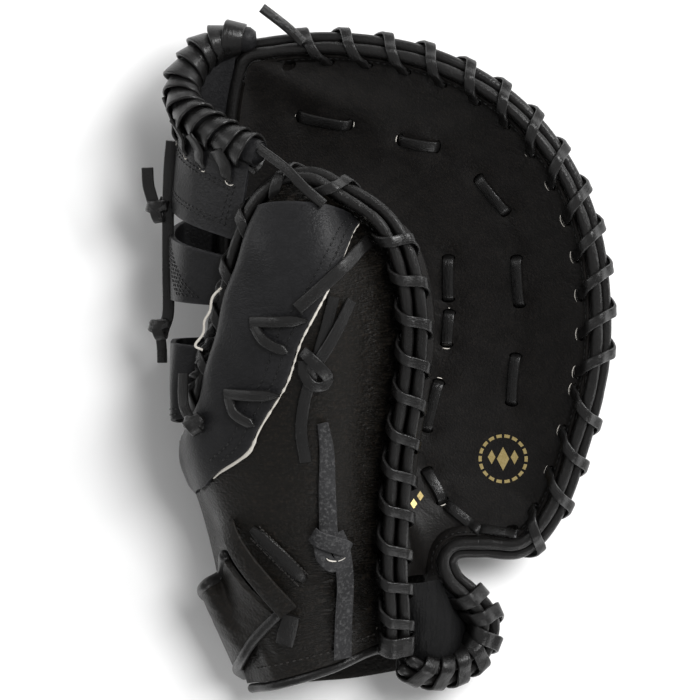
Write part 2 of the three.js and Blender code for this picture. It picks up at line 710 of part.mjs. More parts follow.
const laces = [
  { name: "heel_lace", edge: fingerEdge, from: ["heel", 0.1], to: ["rim", 0.12], pitch: heelLacePitch, way: -1 },
  { name: "finger_rim_lace_lower", edge: fingerEdge, from: ["rim", 0.32], to: ["rim", 0.5], way: -1 },
  { name: "finger_rim_lace_upper", edge: fingerEdge, from: ["rim", 0.515], to: ["rim", 0.985], way: 1 },
  { name: "thumb_rim_lace", edge: thumbEdge, from: ["rim", 0.03], to: ["rim", 0.88], way: 1 },
  { name: "thumb_web_lace", edge: thumbEdge, from: ["rim", 0.96], to: ["web", 0.45], pitch: webLacePitch, way: 1 },
].map(whipLace);
laces.forEach(({ name, stations }) => addPiece(name, strap(stations, laceWidth, laceThickness), laceLeather));

// Welts: two rolls along each edge, beside the ends of the two leathers. A station comes
// where the edge has turned or run far enough.
const weltTurn = THREE.MathUtils.degToRad(21);
const weltRun = 36;
const weltStep = weltRadius / 2;
function weltLengths(edge) {
  const found = [0];
  let heading = edge.atLength(0).along;
  for (let s = weltRadius; s < edge.length - 2 * weltRadius; s += weltStep) {
    const along = edge.atLength(s).along;
    if (along.angleTo(heading) < weltTurn && s - found[found.length - 1] < weltRun) continue;
    found.push(s);
    heading = along;
  }
  return [...found, edge.length];
}
function welt(name, edge, palmwards) {
  const points = weltLengths(edge).map((s) => beside(edge.atLength(s), weltMiddle, palmwards));
  addPiece(name, bar(points, weltRadius, 6), weltLeather);
  return solid(bar(points, weltRadius + 2 * clearance, 6));
}
const weltRooms = [
  welt("finger_palm_welt", fingerEdge, weltSpread),
  welt("finger_back_welt", fingerEdge, -weltSpread),
  welt("thumb_palm_welt", thumbEdge, weltSpread),
  welt("thumb_back_welt", thumbEdge, -weltSpread),
];

// Surfaces of the leathers
const palmSurface = surfaceOf(palmSection);
const fingerBackSurface = surfaceOf(fingerBackSection);
const thumbBackSurface = surfaceOf(thumbBackSection);
const heelSurface = surfaceOf(heelSection);
const webSurface = surfaceOf(webSection);
const gridOf = (surface, us, vs) => vs.map((v) => us.map((u) => surface(u, v)));

// A place on a surface, lifted off it, with its directions
function spot(surface, u, v, lift) {
  const step = 0.01;
  const low = Math.max(v - step, palmStart * (surface === palmSurface ? 1 : 0));
  const across = surface(Math.min(u + step, 1), v).sub(surface(Math.max(u - step, 0), v));
  const along = surface(u, Math.min(v + step, 1)).sub(surface(u, low));
  const normal = new THREE.Vector3().crossVectors(across, along).normalize();
  return { point: surface(u, v).addScaledVector(normal, lift), normal };
}

// Stations of a strap that lies on a surface
function laidStations(surface, route) {
  const spots = route.map(({ u, v, lift }) => spot(surface, u, v, lift));
  return spots.map(({ point, normal }, i) => {
    const ahead = spots[Math.min(i + 1, spots.length - 1)].point;
    const behind = spots[Math.max(i - 1, 0)].point;
    const across = new THREE.Vector3().crossVectors(normal, ahead.clone().sub(behind)).normalize();
    return { point, across, widen: route[i].widen ?? 1 };
  });
}

const fuse = (geometries) =>
  geometryOf(geometries.map(solid).reduce((whole, next) => whole.add(next)));

// A running lace goes in and out of the palm: every second stretch shows in the pocket
function runningLace(name, route) {
  const pocketSide = -(palmThickness / 2 + laceLift);
  const handSide = -pocketSide;
  const stations = route.flatMap(({ u, v }, i) => {
    const shows = i % 2 === 0;
    const from = shows ? route[i] : route[i - 1];
    const to = shows ? route[i + 1] : route[i];
    const here = spot(palmSurface, u, v, 0);
    const way = palmSurface(to.u, to.v).sub(palmSurface(from.u, from.v)).normalize();
    const across = new THREE.Vector3().crossVectors(here.normal, way).normalize();
    const lifts = shows ? [handSide, pocketSide] : [pocketSide, handSide];
    return lifts.map((lift) => ({ point: here.point.clone().addScaledVector(here.normal, lift), across }));
  });
  addPiece(name, strap(stations, laceWidth, laceThickness), laceLeather);
  return roomOf(stations);
}
const palmLaceRooms = [
  runningLace("palm_lace_outer", PALM_LACE_OUTER),
  runningLace("palm_lace_inner", PALM_LACE_INNER),
  runningLace("palm_lace_heel", PALM_LACE_HEEL),
];

// Leathers, each with its lace holes. Rows run between every second pair of rim holes, so
// that no hole is cut by a row.
function rowsBetweenHoles(edge, names) {
  const holes = laces.filter(({ name }) => names.includes(name)).flatMap((lace) => lace.holes);
  const sorted = holes.sort((a, b) => a - b);
  const middles = sorted.slice(1).map((s, i) => edge.vAtLength((s + sorted[i]) / 2));
  return middles.filter((v, i) => v > 0.3 && i % 2 === 0);
}
const fingerRows = rowsBetweenHoles(fingerEdge, ["finger_rim_lace_lower", "finger_rim_lace_upper"]);
const thumbRows = rowsBetweenHoles(thumbEdge, ["thumb_rim_lace"]);
const PALM_V = [palmStart, 0.185, 0.215, 0.25, 0.3, crotch, 1, ...fingerRows];
const FINGER_BACK_V = [0, 0.04, 0.08, 0.13, 0.18, 0.23, 0.29, 1, ...fingerRows];
const THUMB_BACK_V = [0, 0.1, 0.2, 0.29, 0.93, 1, ...thumbRows];
[PALM_V, FINGER_BACK_V, THUMB_BACK_V].forEach((rows) => rows.sort((a, b) => a - b));
const HEEL_V = [0, 0.03, 0.06, 0.09, 0.12, 0.148];
const laceRooms = laces.map(({ room }) => room);

const leatherFrom = (manifold, tools) => geometryOf(cut(manifold, tools).simplify(facetTolerance));
const leatherWall = (grid, thickness, options, tools) =>
  leatherFrom(solid(wall(grid, thickness, options)), tools);

const palmCells = [1, 2, 2, 2, 1, 1, 1, 1, 1, 2, 1, 1];
const windowStart = 1 + 2 + 2 + 2 + 1;
const windowEnd = windowStart + 1 + 1;
const overPalm = (j, i) => PALM_V[j] < crotch || i < windowStart || i >= windowEnd;
const palmGrid = gridOf(palmSurface, splitSpans(palmCells), PALM_V);
addPiece(
  "palm",
  leatherWall(palmGrid, palmThickness, { keep: overPalm }, [...laceRooms, ...palmLaceRooms]),
  shellLeather,
);

// The finger back is flattened where it lies on the floor
function restOnFloor(point, side) {
  point.z = Math.max(point.z, side > 0 ? 0 : backThickness);
  return point;
}
const fingerBackGrid = gridOf(fingerBackSurface, splitSpans([1, 2, 2, 2, 1]), FINGER_BACK_V);
addPiece(
  "finger_back",
  leatherWall(fingerBackGrid, backThickness, { adjust: restOnFloor }, [...laceRooms, ...weltRooms]),
  backLeather,
);

const thumbBackGrid = gridOf(thumbBackSurface, splitSpans([1, 2, 3, 2, 1]), THUMB_BACK_V);
addPiece(
  "thumb_back",
  leatherWall(thumbBackGrid, backThickness, {}, [...laceRooms, ...weltRooms]),
  backLeather,
);

const heelGrid = gridOf(heelSurface, splitSpans([1, 1, 2, 1, 1]), HEEL_V);
addPiece(
  "heel_pad",
  leatherWall(heelGrid, heelPadThickness, {}, [...laceRooms, ...weltRooms]),
  shellLeather,
);

// Web: a laced bar along the top and three panels that fold round the mitt's left side
const webBarRadius = 6.2;
const webBarCurve = new THREE.CatmullRomCurve3(WEB_BAR.map(place), false, "centripetal");
addPiece("web_bar", bar(webBarCurve.getSpacedPoints(12), webBarRadius, 8), webLeather);

const barLacePitch = 12.5;
const turnsAround = Math.round(webBarCurve.getLength() / barLacePitch);
const sidesPerTurn = 6;
const barLace = steps(0, turnsAround, turnsAround * sidesPerTurn).map((turn) => {
  const share = THREE.MathUtils.lerp(0.03, 0.97, turn / turnsAround);
  const along = webBarCurve.getTangentAt(share);
  const side = new THREE.Vector3().crossVectors(along, up).normalize();
  const rise = new THREE.Vector3().crossVectors(side, along);
  const angle = 2 * Math.PI * turn;
  const ring = (webBarRadius + laceLift) / Math.cos(Math.PI / sidesPerTurn);
  const point = webBarCurve
    .getPointAt(share)
    .addScaledVector(side, ring * Math.cos(angle))
    .addScaledVector(rise, ring * Math.sin(angle));
  return { point, across: along, widen: 1.1 };
});
addPiece("web_bar_lace", strap(barLace, laceWidth, laceThickness), laceLeather);

const webU = splitSpans([2, 2, 2, 2]);
const webTopGap = webBarRadius + laceLift + 3.5 * laceThickness;
const webTop = webU.map((u) => {
  const foot = webSurface(u, WEB_TOP_FOOT);
  const head = webBarCurve.getPointAt(THREE.MathUtils.clamp(u, 0.04, 0.96));
  return head.lerp(foot, webTopGap / head.distanceTo(foot));
});
const webTopGrid = steps(0, 1, 3).map((share) =>
  webU.map((u, i) => webSurface(u, WEB_TOP_FOOT).lerp(webTop[i], share)),
);
addPiece("web_top_panel", wall(webTopGrid, webThickness), webLeather);
addPiece(
  "web_middle_panel",
  wall(gridOf(webSurface, webU, steps(WEB_MIDDLE.from, WEB_MIDDLE.to, 2)), webThickness),
  webLeather,
);
addPiece(
  "web_low_panel",
  wall(gridOf(webSurface, webU, steps(WEB_LOW.from, WEB_LOW.to, 3)), webThickness),
  webLeather,
);

// A knot is a rounded lump of lace
function knot(row, size) {
  const lump = new THREE.SphereGeometry(1, 6, 4);
  lump.scale(size[0], size[1], size[2]);
  const at = place(row);
  lump.translate(at.x, at.y, at.z);
  return lump;
}
const flatAcross = new THREE.Vector3(1, 0, 0);
const narrowLace = 0.86 * laceWidth;
const freeStrap = (rows, across, width = laceWidth) =>
  strap(rows.map((row) => ({ point: place(row), across })), width, laceThickness);

addPiece(
  "web_spine_lace",
  fuse([
    freeStrap(
      [
        { x: -44.4, y: 30.5, z: 56.0 },
        { x: -44.9, y: 27.5, z: 53.5 },
        { x: -45.3, y: 21.0, z: 51.5 },
        { x: -45.4, y: 12.0, z: 49.0 },
        { x: -45.5, y: 5.0, z: 47.0 },
        { x: -46.2, y: 3.5, z: 46.5 },
      ],
      flatAcross,
    ),
    knot({ x: -47.6, y: 20.9, z: 52 }, [4.6, 5.5, 4]),
    freeStrap(
      [
        { x: -48.4, y: 21.5, z: 53 },
        { x: -49.4, y: 24.0, z: 54 },
        { x: -49.6, y: 26.6, z: 55.7 },
      ],
      flatAcross,
    ),
    knot({ x: -47.3, y: 3.4, z: 46.8 }, [4.4, 5.2, 4]),
    freeStrap(
      [
        { x: -47.3, y: 2.8, z: 45.6 },
        { x: -46.9, y: 0.4, z: 43.0 },
        { x: -46.9, y: -1.8, z: 40.0 },
      ],
      flatAcross,
      narrowLace,
    ),
  ]),
  laceLeather,
);

// Panel laid over the thumb back from the web side, with a raw edge
const onThumb = backThickness / 2 + 3 * clearance;
const overThumb = onThumb + laceThickness / 2;
const overPanel = overThumb + webThickness + clearance;
const panelGrid = PANEL_ROWS.map(({ v, left, right }) =>
  steps(left, right, 4).map((u) => thumbBackSurface(u, v)),
);
const thumbBackRoom = solid(wall(thumbBackGrid, backThickness + 2 * clearance));
addPiece(
  "thumb_panel",
  leatherWall(panelGrid, webThickness, { lift: onThumb + webThickness / 2 }, [
    thumbBackRoom,
    ...laceRooms,
    ...weltRooms,
  ]),
  webLeather,
);

const laid = (route, width = laceWidth, surface = thumbBackSurface) =>
  strap(laidStations(surface, route), width, laceThickness);

// Two V laces that tie the panel down: a level arm and a slanted arm that share a hole
const V_LACES = [
  {
    name: "v_lace_upper",
    hole: { u: 0.475, v: 0.665 },
    level: { u: 0.57, v: 0.681 },
    slant: { u: 0.545, v: 0.605 },
  },
  {
    name: "v_lace_lower",
    hole: { u: 0.456, v: 0.515 },
    level: { u: 0.54, v: 0.513 },
    slant: { u: 0.505, v: 0.45 },
  },
];
V_LACES.forEach(({ name, hole, level, slant }) => {
  const arm = (to, rise) =>
    laid([
      { ...hole, lift: overPanel },
      { u: (hole.u + to.u) / 2, v: (hole.v + to.v) / 2, lift: overPanel + rise },
      { ...to, lift: overPanel },
    ], 0.9 * laceWidth);
  addPiece(name, fuse([arm(level, 0.6), arm(slant, 0)]), laceLeather);
});

// Free lace ends on the thumb back
addPiece(
  "thumb_thong",
  laid([
    { u: 0.735, v: 0.862, lift: overThumb + 0.6 },
    { u: 0.688, v: 0.844, lift: overThumb + 3.3 },
    { u: 0.622, v: 0.802, lift: overPanel + 2.2 },
    { u: 0.55, v: 0.706, lift: overPanel + 0.9 },
  ]),
  laceLeather,
);

const knotLump = (surface, { u, v, lift }, size) => {
  const lump = new THREE.SphereGeometry(1, 6, 4);
  lump.scale(...size);
  lump.translate(...spot(surface, u, v, lift).point.toArray());
  return lump;
};
addPiece(
  "thumb_knot_lace",
  fuse([
    laid([
      { u: 0.617, v: 0.735, lift: overThumb },
      { u: 0.606, v: 0.669, lift: overThumb },
      { u: 0.594, v: 0.594, lift: overThumb + 1 },
      { u: 0.588, v: 0.563, lift: overThumb + 1.4 },
      { u: 0.575, v: 0.5, lift: overThumb },
      { u: 0.569, v: 0.438, lift: overThumb - 0.3 },
      { u: 0.573, v: 0.385, lift: overThumb - 0.3 },
    ]),
    laid([
      { u: 0.65, v: 0.722, lift: overThumb + 2.2 },
      { u: 0.622, v: 0.656, lift: overThumb + 2.8 },
      { u: 0.592, v: 0.575, lift: overThumb + 2.4 },
    ]),
    knotLump(thumbBackSurface, { u: 0.592, v: 0.566, lift: overThumb + 2.6 }, [5.2, 8.4, 3]),
  ]),
  laceLeather,
);

const thongLeather = leather(0x37383a, 0.9);
addPiece(
  "wide_thong",
  fuse([
    laid([
      { u: 0.606, v: 0.456, lift: overThumb, widen: 0.5 },
      { u: 0.612, v: 0.405, lift: overThumb, widen: 1.1 },
      { u: 0.607, v: 0.34, lift: overThumb + 0.3, widen: 1.35 },
      { u: 0.602, v: 0.25, lift: overThumb + 0.9, widen: 1.5 },
    ]),
    knotLump(thumbBackSurface, { u: 0.603, v: 0.242, lift: overThumb + 2.6 }, [7.6, 6.6, 3.2]),
    laid([
      { u: 0.627, v: 0.235, lift: overThumb + 2.8, widen: 1.6 },
      { u: 0.638, v: 0.17, lift: overThumb + 1, widen: 1.65 },
      { u: 0.634, v: 0.09, lift: overThumb + 0.7, widen: 1.65 },
      { u: 0.632, v: 0.012, lift: overThumb + 1.4, widen: 1.65 },
    ]),
  ]),
  thongLeather,
);

// Wrist: a bound edge, a strap across the open back of the hand, its keeper and its tab
const bindingRadius = 2.3;
const bindingRows = steps(0.06, 0.9, 9).map((u) => {
  const edge = thumbBackSurface(u, 0);
  const outwards = edge.clone().sub(thumbBackSurface(u, 0.03)).normalize();
  return edge.addScaledVector(outwards, bindingRadius + 2 * clearance);
});
addPiece("wrist_binding", bar(bindingRows, bindingRadius, 6), backLeather);

const strapThickness = 3;
const strapLift = onThumb + strapThickness / 2 + clearance;
const STRAP_SIDES = [
  {
    thumb: [{ u: 0.345, v: 0.23 }, { u: 0.24, v: 0.205 }],
    free: [{ x: -37.2, y: -34.6, z: 45 }, { x: -38.2, y: -36.0, z: 34 }, { x: -35.6, y: -38.4, z: 12 }],
  },
  {
    thumb: [{ u: 0.465, v: 0.125 }, { u: 0.36, v: 0.085 }],
    free: [{ x: -29.6, y: -45.0, z: 42 }, { x: -31.0, y: -47.2, z: 28 }, { x: -29.8, y: -48.6, z: 11 }],
  },
];
const betweenRows = (a, b, share) =>
  Object.fromEntries(Object.keys(a).map((key) => [key, THREE.MathUtils.lerp(a[key], b[key], share)]));
function strapCurve(share) {
  const [near, far] = STRAP_SIDES;
  const thumb = near.thumb.map((row, i) => betweenRows(row, far.thumb[i], share));
  const free = near.free.map((row, i) => betweenRows(row, far.free[i], share));
  const laidPoints = thumb.map(({ u, v }) => spot(thumbBackSurface, u, v, strapLift).point);
  return new THREE.CatmullRomCurve3([...laidPoints, ...free.map(place)], false, "centripetal");
}
const strapGrid = steps(0, 1, 3).map((share) => {
  const curve = strapCurve(share);
  return steps(0, 1, 8).map((t) => curve.getPoint(t));
});
addPiece("wrist_strap", leatherWall(strapGrid, strapThickness, {}, [thumbBackRoom]), backLeather);

const overStrap = strapLift + strapThickness / 2 + clearance + laceThickness;
addPiece(
  "strap_keeper",
  laid([
    { u: 0.406, v: 0.278, lift: overThumb - 0.3, widen: 1.7 },
    { u: 0.406, v: 0.241, lift: overStrap, widen: 1.9 },
    { u: 0.45, v: 0.195, lift: overStrap, widen: 1.9 },
    { u: 0.495, v: 0.135, lift: overStrap, widen: 1.9 },
  ]),
  backLeather,
);
addPiece(
  "strap_tab",
  laid([
    { u: 0.5, v: 0.118, lift: overThumb, widen: 1.7 },
    { u: 0.485, v: 0.09, lift: overThumb, widen: 1.7 },
    { u: 0.47, v: 0.066, lift: overThumb, widen: 1.5 },
  ]),
  backLeather,
);

// Short lace ends that stand free: at the top of the rim, over the thumb tip and on the web
const FREE_ENDS = [
  {
    name: "rim_tail",
    rows: [{ x: -16.6, y: 44.9, z: 53.0 }, { x: -19.6, y: 46.9, z: 53.6 }, { x: -25.3, y: 49.9, z: 56 }],
  },
  {
    name: "tip_strap",
    rows: [
      { x: -25.4, y: 28.7, z: 88.4 },
      { x: -20.0, y: 25.8, z: 94.8 },
      { x: -15.9, y: 22.9, z: 97.2 },
      { x: -12.0, y: 20.6, z: 97.4 },
    ],
  },
];
FREE_ENDS.forEach(({ name, rows }) => addPiece(name, freeStrap(rows, up.clone().cross(flatAcross)), laceLeather));
addPiece(
  "low_web_lace",
  fuse([
    freeStrap(
      [
        { x: -41.6, y: -3.4, z: 70 },
        { x: -41.4, y: -8.0, z: 72.6 },
        { x: -39.6, y: -10.4, z: 76.4 },
      ],
      flatAcross,
      narrowLace,
    ),
    knot({ x: -39.2, y: -10.4, z: 77.4 }, [4.2, 4.6, 3.6]),
  ]),
  laceLeather,
);

export default mitt;
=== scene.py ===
import math

import bpy
import numpy as np
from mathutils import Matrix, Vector
from mathutils.bvhtree import BVHTree


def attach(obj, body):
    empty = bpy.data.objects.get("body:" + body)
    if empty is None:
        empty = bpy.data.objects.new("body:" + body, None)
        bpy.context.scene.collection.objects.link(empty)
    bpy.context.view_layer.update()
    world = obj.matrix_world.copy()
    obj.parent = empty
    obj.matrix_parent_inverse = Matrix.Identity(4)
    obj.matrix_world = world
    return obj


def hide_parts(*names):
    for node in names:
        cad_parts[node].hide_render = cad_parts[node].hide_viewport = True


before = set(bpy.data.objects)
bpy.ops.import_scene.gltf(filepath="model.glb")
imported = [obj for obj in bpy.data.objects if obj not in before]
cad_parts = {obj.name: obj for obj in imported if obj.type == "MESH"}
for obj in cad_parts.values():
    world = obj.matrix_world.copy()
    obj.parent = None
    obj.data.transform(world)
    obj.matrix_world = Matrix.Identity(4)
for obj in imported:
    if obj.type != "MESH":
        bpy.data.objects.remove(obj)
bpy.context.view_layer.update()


# Camera: straight above the mitt, as for a catalogue picture, so far up that the thumb and
# the floor keep nearly one scale.
CAMERA_HEIGHT = 1.7
CAMERA_X = -0.01455
LENS = 180.3
camera = bpy.data.objects.new("camera", bpy.data.cameras.new("camera"))
camera.data.lens = LENS
camera.data.sensor_width = 36
camera.location = (CAMERA_X, 0, CAMERA_HEIGHT)
bpy.context.scene.collection.objects.link(camera)
bpy.context.scene.camera = camera


# Edges of the shell: the finger side runs from the heel round the rim to the web, the thumb
# side from the wrist round the thumb tip to the web. Every leather is sewn to one of them.
# Rows are v, x, y, z in percent of the mitt's width, length and height, then the lean.
MM = 0.001
LAY_PER_METRE = 10
MITT = np.array([220.0, 320.0, 115.0]) / 100
CROTCH = 0.42
PALM_START = 0.16
PALM_THICKNESS = 2.6
BACK_THICKNESS = 2.2
WEB_THICKNESS = 2.4
WELT_RADIUS = 2.8
WELT_SPREAD = 3.3
LACE_WIDTH = 5.6
LACE_THICKNESS = 1.5
HOLE_INSET = 5.5
EDGE_RUN = 9.0
WEB_EDGE_RUN = 7.0
EDGE_GAP = 1.1
CLEARANCE = 0.3
LACE_LIFT = LACE_THICKNESS / 2 + 2 * CLEARANCE

HEEL_EDGE = [(0, 5.5, -45.8, 40, 60), (0.5, 9.5, -47.2, 36, 58), (1, 15.0, -47.2, 30, 55)]
FINGER_RIM = [
    (0.0, 20.5, -44.8, 25, 50),
    (0.05, 22.5, -40.5, 26, 50),
    (0.1, 19.0, -37.0, 29, 45),
    (0.15, 14.5, -34.0, 31, 40),
    (0.19, 13.3, -31.0, 32, 40),
    (0.23, 15.5, -28.9, 33, 40),
    (0.28, 22.0, -28.5, 33, 40),
    (0.33, 30.0, -28.5, 33, 42),
    (0.38, 36.0, -24.0, 35, 45),
    (0.45, 41.5, -13.8, 39, 45),
    (0.52, 45.4, -3.0, 43, 42),
    (0.59, 45.8, 7.7, 45, 42),
    (0.66, 43.5, 17.7, 47, 42),
    (0.74, 37.0, 27.7, 48, 45),
    (0.82, 25.6, 36.4, 48, 48),
    (0.89, 10.0, 42.1, 47, 50),
    (0.95, -9.0, 44.4, 45, 50),
    (1.0, -24.0, 43.8, 43, 48),
]
FINGER_CORNER = [(1.0, -28.8, 42.9, 42, 45)]
FINGER_WEB_EDGE = [
    (1.0, -30.8, 39.5, 39, 40),
    (0.85, -33.2, 24.0, 30, 30),
    (0.7, -33.8, 9.0, 24, 25),
    (0.55, -34.5, -3.0, 24, 25),
    (CROTCH, -31.5, -11.0, 33, 30),
]
THUMB_RIM = [
    (0.0, 3.0, -44.0, 43, 60),
    (0.1, 3.0, -38.0, 49, 70),
    (0.2, 2.5, -31.5, 54, 75),
    (0.3, 3.0, -24.0, 60, 80),
    (0.42, 4.0, -14.5, 68, 80),
    (0.55, 6.0, -4.5, 76, 80),
    (0.67, 6.5, 5.0, 82, 80),
    (0.8, 4.0, 13.5, 85, 75),
    (0.9, -0.5, 18.5, 86, 60),
    (1.0, -8.5, 22.0, 85, 45),
]
THUMB_CORNER = [(1.0, -14.5, 24.0, 85, 30), (1.0, -20.5, 23.5, 84, 15)]
THUMB_WEB_EDGE = [
    (1.0, -25.0, 21.0, 83, 5),
    (0.85, -28.8, 14.5, 80, -10),
    (0.7, -31.8, 6.0, 73, -20),
    (0.55, -36.0, -4.5, 64, -25),
    (CROTCH, -37.5, -11.5, 57, -30),
]


def unit(vectors):
    vectors = np.asarray(vectors, float)
    return vectors / np.maximum(np.linalg.norm(vectors, axis=-1, keepdims=True), 1e-9)


def through(points, at):
    """Points at shares 0 to 1 along the centripetal curve through the given points."""
    points = np.asarray(points, float)
    n = len(points)
    stops = np.vstack([2 * points[0] - points[1], points, 2 * points[-1] - points[-2]])
    gaps = np.maximum(np.sum(np.diff(stops, axis=0) ** 2, axis=1) ** 0.25, 1e-4)
    t = np.clip(np.atleast_1d(at).astype(float), 0, 1) * (n - 1)
    k = np.minimum(t.astype(int), n - 2)
    w = (t - k)[:, None]
    before, here, after = gaps[k][:, None], gaps[k + 1][:, None], gaps[k + 2][:, None]
    a, b, c, d = stops[k], stops[k + 1], stops[k + 2], stops[k + 3]
    out = ((b - a) / before - (c - a) / (before + here) + (c - b) / here) * here
    into = ((c - b) / here - (d - b) / (here + after) + (d - c) / after) * here
    return b + w * out + w**2 * (3 * (c - b) - 2 * out - into) + w**3 * (2 * (b - c) + out + into)


def along_rail(rows, v):
    """The point of a rail at v, in millimetres."""
    rows = np.asarray(rows, float)
    k = 0
    while k < len(rows) - 2 and v > rows[k + 1][0]:
        k += 1
    before, a, b = rows[max(k - 1, 0)], rows[k], rows[k + 1]
    after = rows[min(k + 2, len(rows) - 1)]
    span = b[0] - a[0]
    s = min(max((v - a[0]) / span, 0), 1)
    leave = (b - before) / (b[0] - before[0]) * span
    reach = (after - a) / (after[0] - a[0]) * span
    rise = b - a
    point = a + s * (leave + s * (3 * rise - 2 * leave - reach + s * (leave + reach - 2 * rise)))
    return point[1:4] * MITT


class SewnEdge:
    """A path with its way along, its way out of the leather and its palm side."""

    STEPS = 16

    def __init__(self, parts, palm_side):
        self.stops = [(part, *row) for part, rows in parts for row in rows]
        self.points = np.array([stop[2:5] for stop in self.stops]) * MITT
        self.palm_side = palm_side
        count = self.STEPS * (len(self.stops) - 1)
        dense = through(self.points, np.linspace(0, 1, count + 1))
        hops = np.linalg.norm(np.diff(dense, axis=0), axis=1)
        self.lengths = np.concatenate([[0], np.cumsum(hops)])
        self.length = self.lengths[-1]

    def at_knot(self, knot):
        last = len(self.stops) - 1
        t = knot / last
        behind, point, ahead = through(self.points, [t - 1e-4, t, t + 1e-4])
        low = min(int(knot), last - 1)
        lean = self.stops[low][5] + (self.stops[low + 1][5] - self.stops[low][5]) * (knot - low)
        angle = math.radians(lean)
        along = unit(ahead - behind)
        side = unit(np.cross(along, (0, 0, 1)))
        rise = unit(np.cross(side, along))
        out = side * math.cos(angle) + rise * math.sin(angle)
        palm = (rise * math.cos(angle) - side * math.sin(angle)) * self.palm_side
        return {"point": point, "along": along, "out": out, "palm": palm}

    def knot_of(self, part, v):
        names = [stop[0] for stop in self.stops]
        first = names.index(part)
        last = len(names) - 1 - names[::-1].index(part)
        rising = self.stops[last][1] > self.stops[first][1]
        k = first
        while k < last - 1 and (v > self.stops[k + 1][1] if rising else v < self.stops[k + 1][1]):
            k += 1
        share = (v - self.stops[k][1]) / (self.stops[k + 1][1] - self.stops[k][1])
        return k + min(max(share, 0), 1)

    def at(self, part, v):
        return self.at_knot(self.knot_of(part, v))

    def length_at(self, part, v):
        return self.lengths[round(self.knot_of(part, v) * self.STEPS)]

    def at_length(self, s):
        s = min(max(s, 0), self.length)
        i = min(int(np.searchsorted(self.lengths, s, side="right")) - 1, len(self.lengths) - 2)
        share = (s - self.lengths[i]) / (self.lengths[i + 1] - self.lengths[i])
        return self.at_knot((i + share) / self.STEPS)

    def between(self, share):
        start = self.knot_of("rim", 1)
        return self.at_knot(start + (self.knot_of("web", 1) - start) * share)


finger_edge = SewnEdge(
    [("heel", HEEL_EDGE), ("rim", FINGER_RIM), ("corner", FINGER_CORNER), ("web", FINGER_WEB_EDGE)], 1
)
thumb_edge = SewnEdge([("rim", THUMB_RIM), ("corner", THUMB_CORNER), ("web", THUMB_WEB_EDGE)], -1)


def beside(spot, out, palm):
    return spot["point"] + out * spot["out"] + palm * spot["palm"]


# Palm: one sheet of smooth full-grain cowhide that folds round the pocket, from the finger
# rim to the thumb rim, over felt padding. It is cut out beside the web and punched for the
# laces, and its edges are sewn into the welts.
PALM_RAILS = {
    "finger_middle": [
        (0.16, 10.8, -33.2, 27),
        (0.23, 12.4, -27.9, 31),
        (0.3, 22.5, -25.3, 29),
        (0.42, 27.0, -15.5, 28),
        (0.55, 29.0, -3.0, 28),
        (0.7, 27.0, 13.0, 29),
        (0.85, 11.5, 29.0, 32),
        (1.0, -26.5, 42.2, 44),
    ],
    "pocket_floor": [
        (0.16, 9.6, -33.2, 29),
        (0.23, 11.0, -28.0, 32),
        (0.3, 18.5, -24.8, 29),
        (0.42, 10.5, -13.5, 25),
        (0.55, 8.5, -1.5, 23),
        (0.7, 6.5, 12.0, 22),
        (0.85, -2.5, 27.0, 25),
        (1.0, -29.0, 41.5, 43),
    ],
    "finger_side": [
        (0.16, 8.4, -33.2, 31.5),
        (0.23, 9.6, -28.2, 34.5),
        (0.3, 12.0, -24.4, 33),
        (0.36, -12.0, -16.5, 28),
        (0.42, -31.5, -11.0, 33),
    ],
    "fold": [
        (0.16, 7.2, -33.2, 34.5),
        (0.23, 8.4, -28.4, 37.5),
        (0.3, 10.0, -24.2, 38),
        (0.36, -18.0, -17.0, 39),
        (0.42, -38.5, -12.0, 43),
        (1.0, -38.5, 30.0, 60),
    ],
    "thumb_side": [
        (0.16, 6.2, -33.2, 37.5),
        (0.23, 7.4, -28.6, 41),
        (0.3, 9.0, -24.1, 43),
        (0.36, -16.0, -17.0, 49),
        (0.42, -37.5, -11.5, 57),
    ],
    "thumb_under": [
        (0.16, 5.2, -33.3, 41),
        (0.23, 6.6, -28.8, 44.5),
        (0.3, 8.2, -24.1, 48),
        (0.42, -11.0, -13.0, 51),
        (0.55, -11.0, -3.5, 56),
        (0.7, -11.0, 6.5, 61),
        (0.85, -11.0, 15.5, 68),
        (1.0, -18.0, 23.5, 82),
    ],
    "thumb_swell": [
        (0.16, 4.6, -33.4, 44.5),
        (0.23, 5.8, -29.0, 48),
        (0.3, 7.0, -24.1, 53),
        (0.42, 9.0, -14.5, 57),
        (0.55, 11.8, -4.5, 63),
        (0.67, 12.8, 4.5, 68),
        (0.8, 10.5, 13.0, 73),
        (0.9, 5.5, 18.5, 76),
        (1.0, -12.0, 23.4, 82),
    ],
}


def web_end(edge, v, palmwards, rail, following):
    if v >= CROTCH:
        spot = edge.at("web", v)
        return beside(spot, -EDGE_GAP, palmwards), beside(spot, -WEB_EDGE_RUN, palmwards)
    return rail, rail + (following - rail) * 0.25


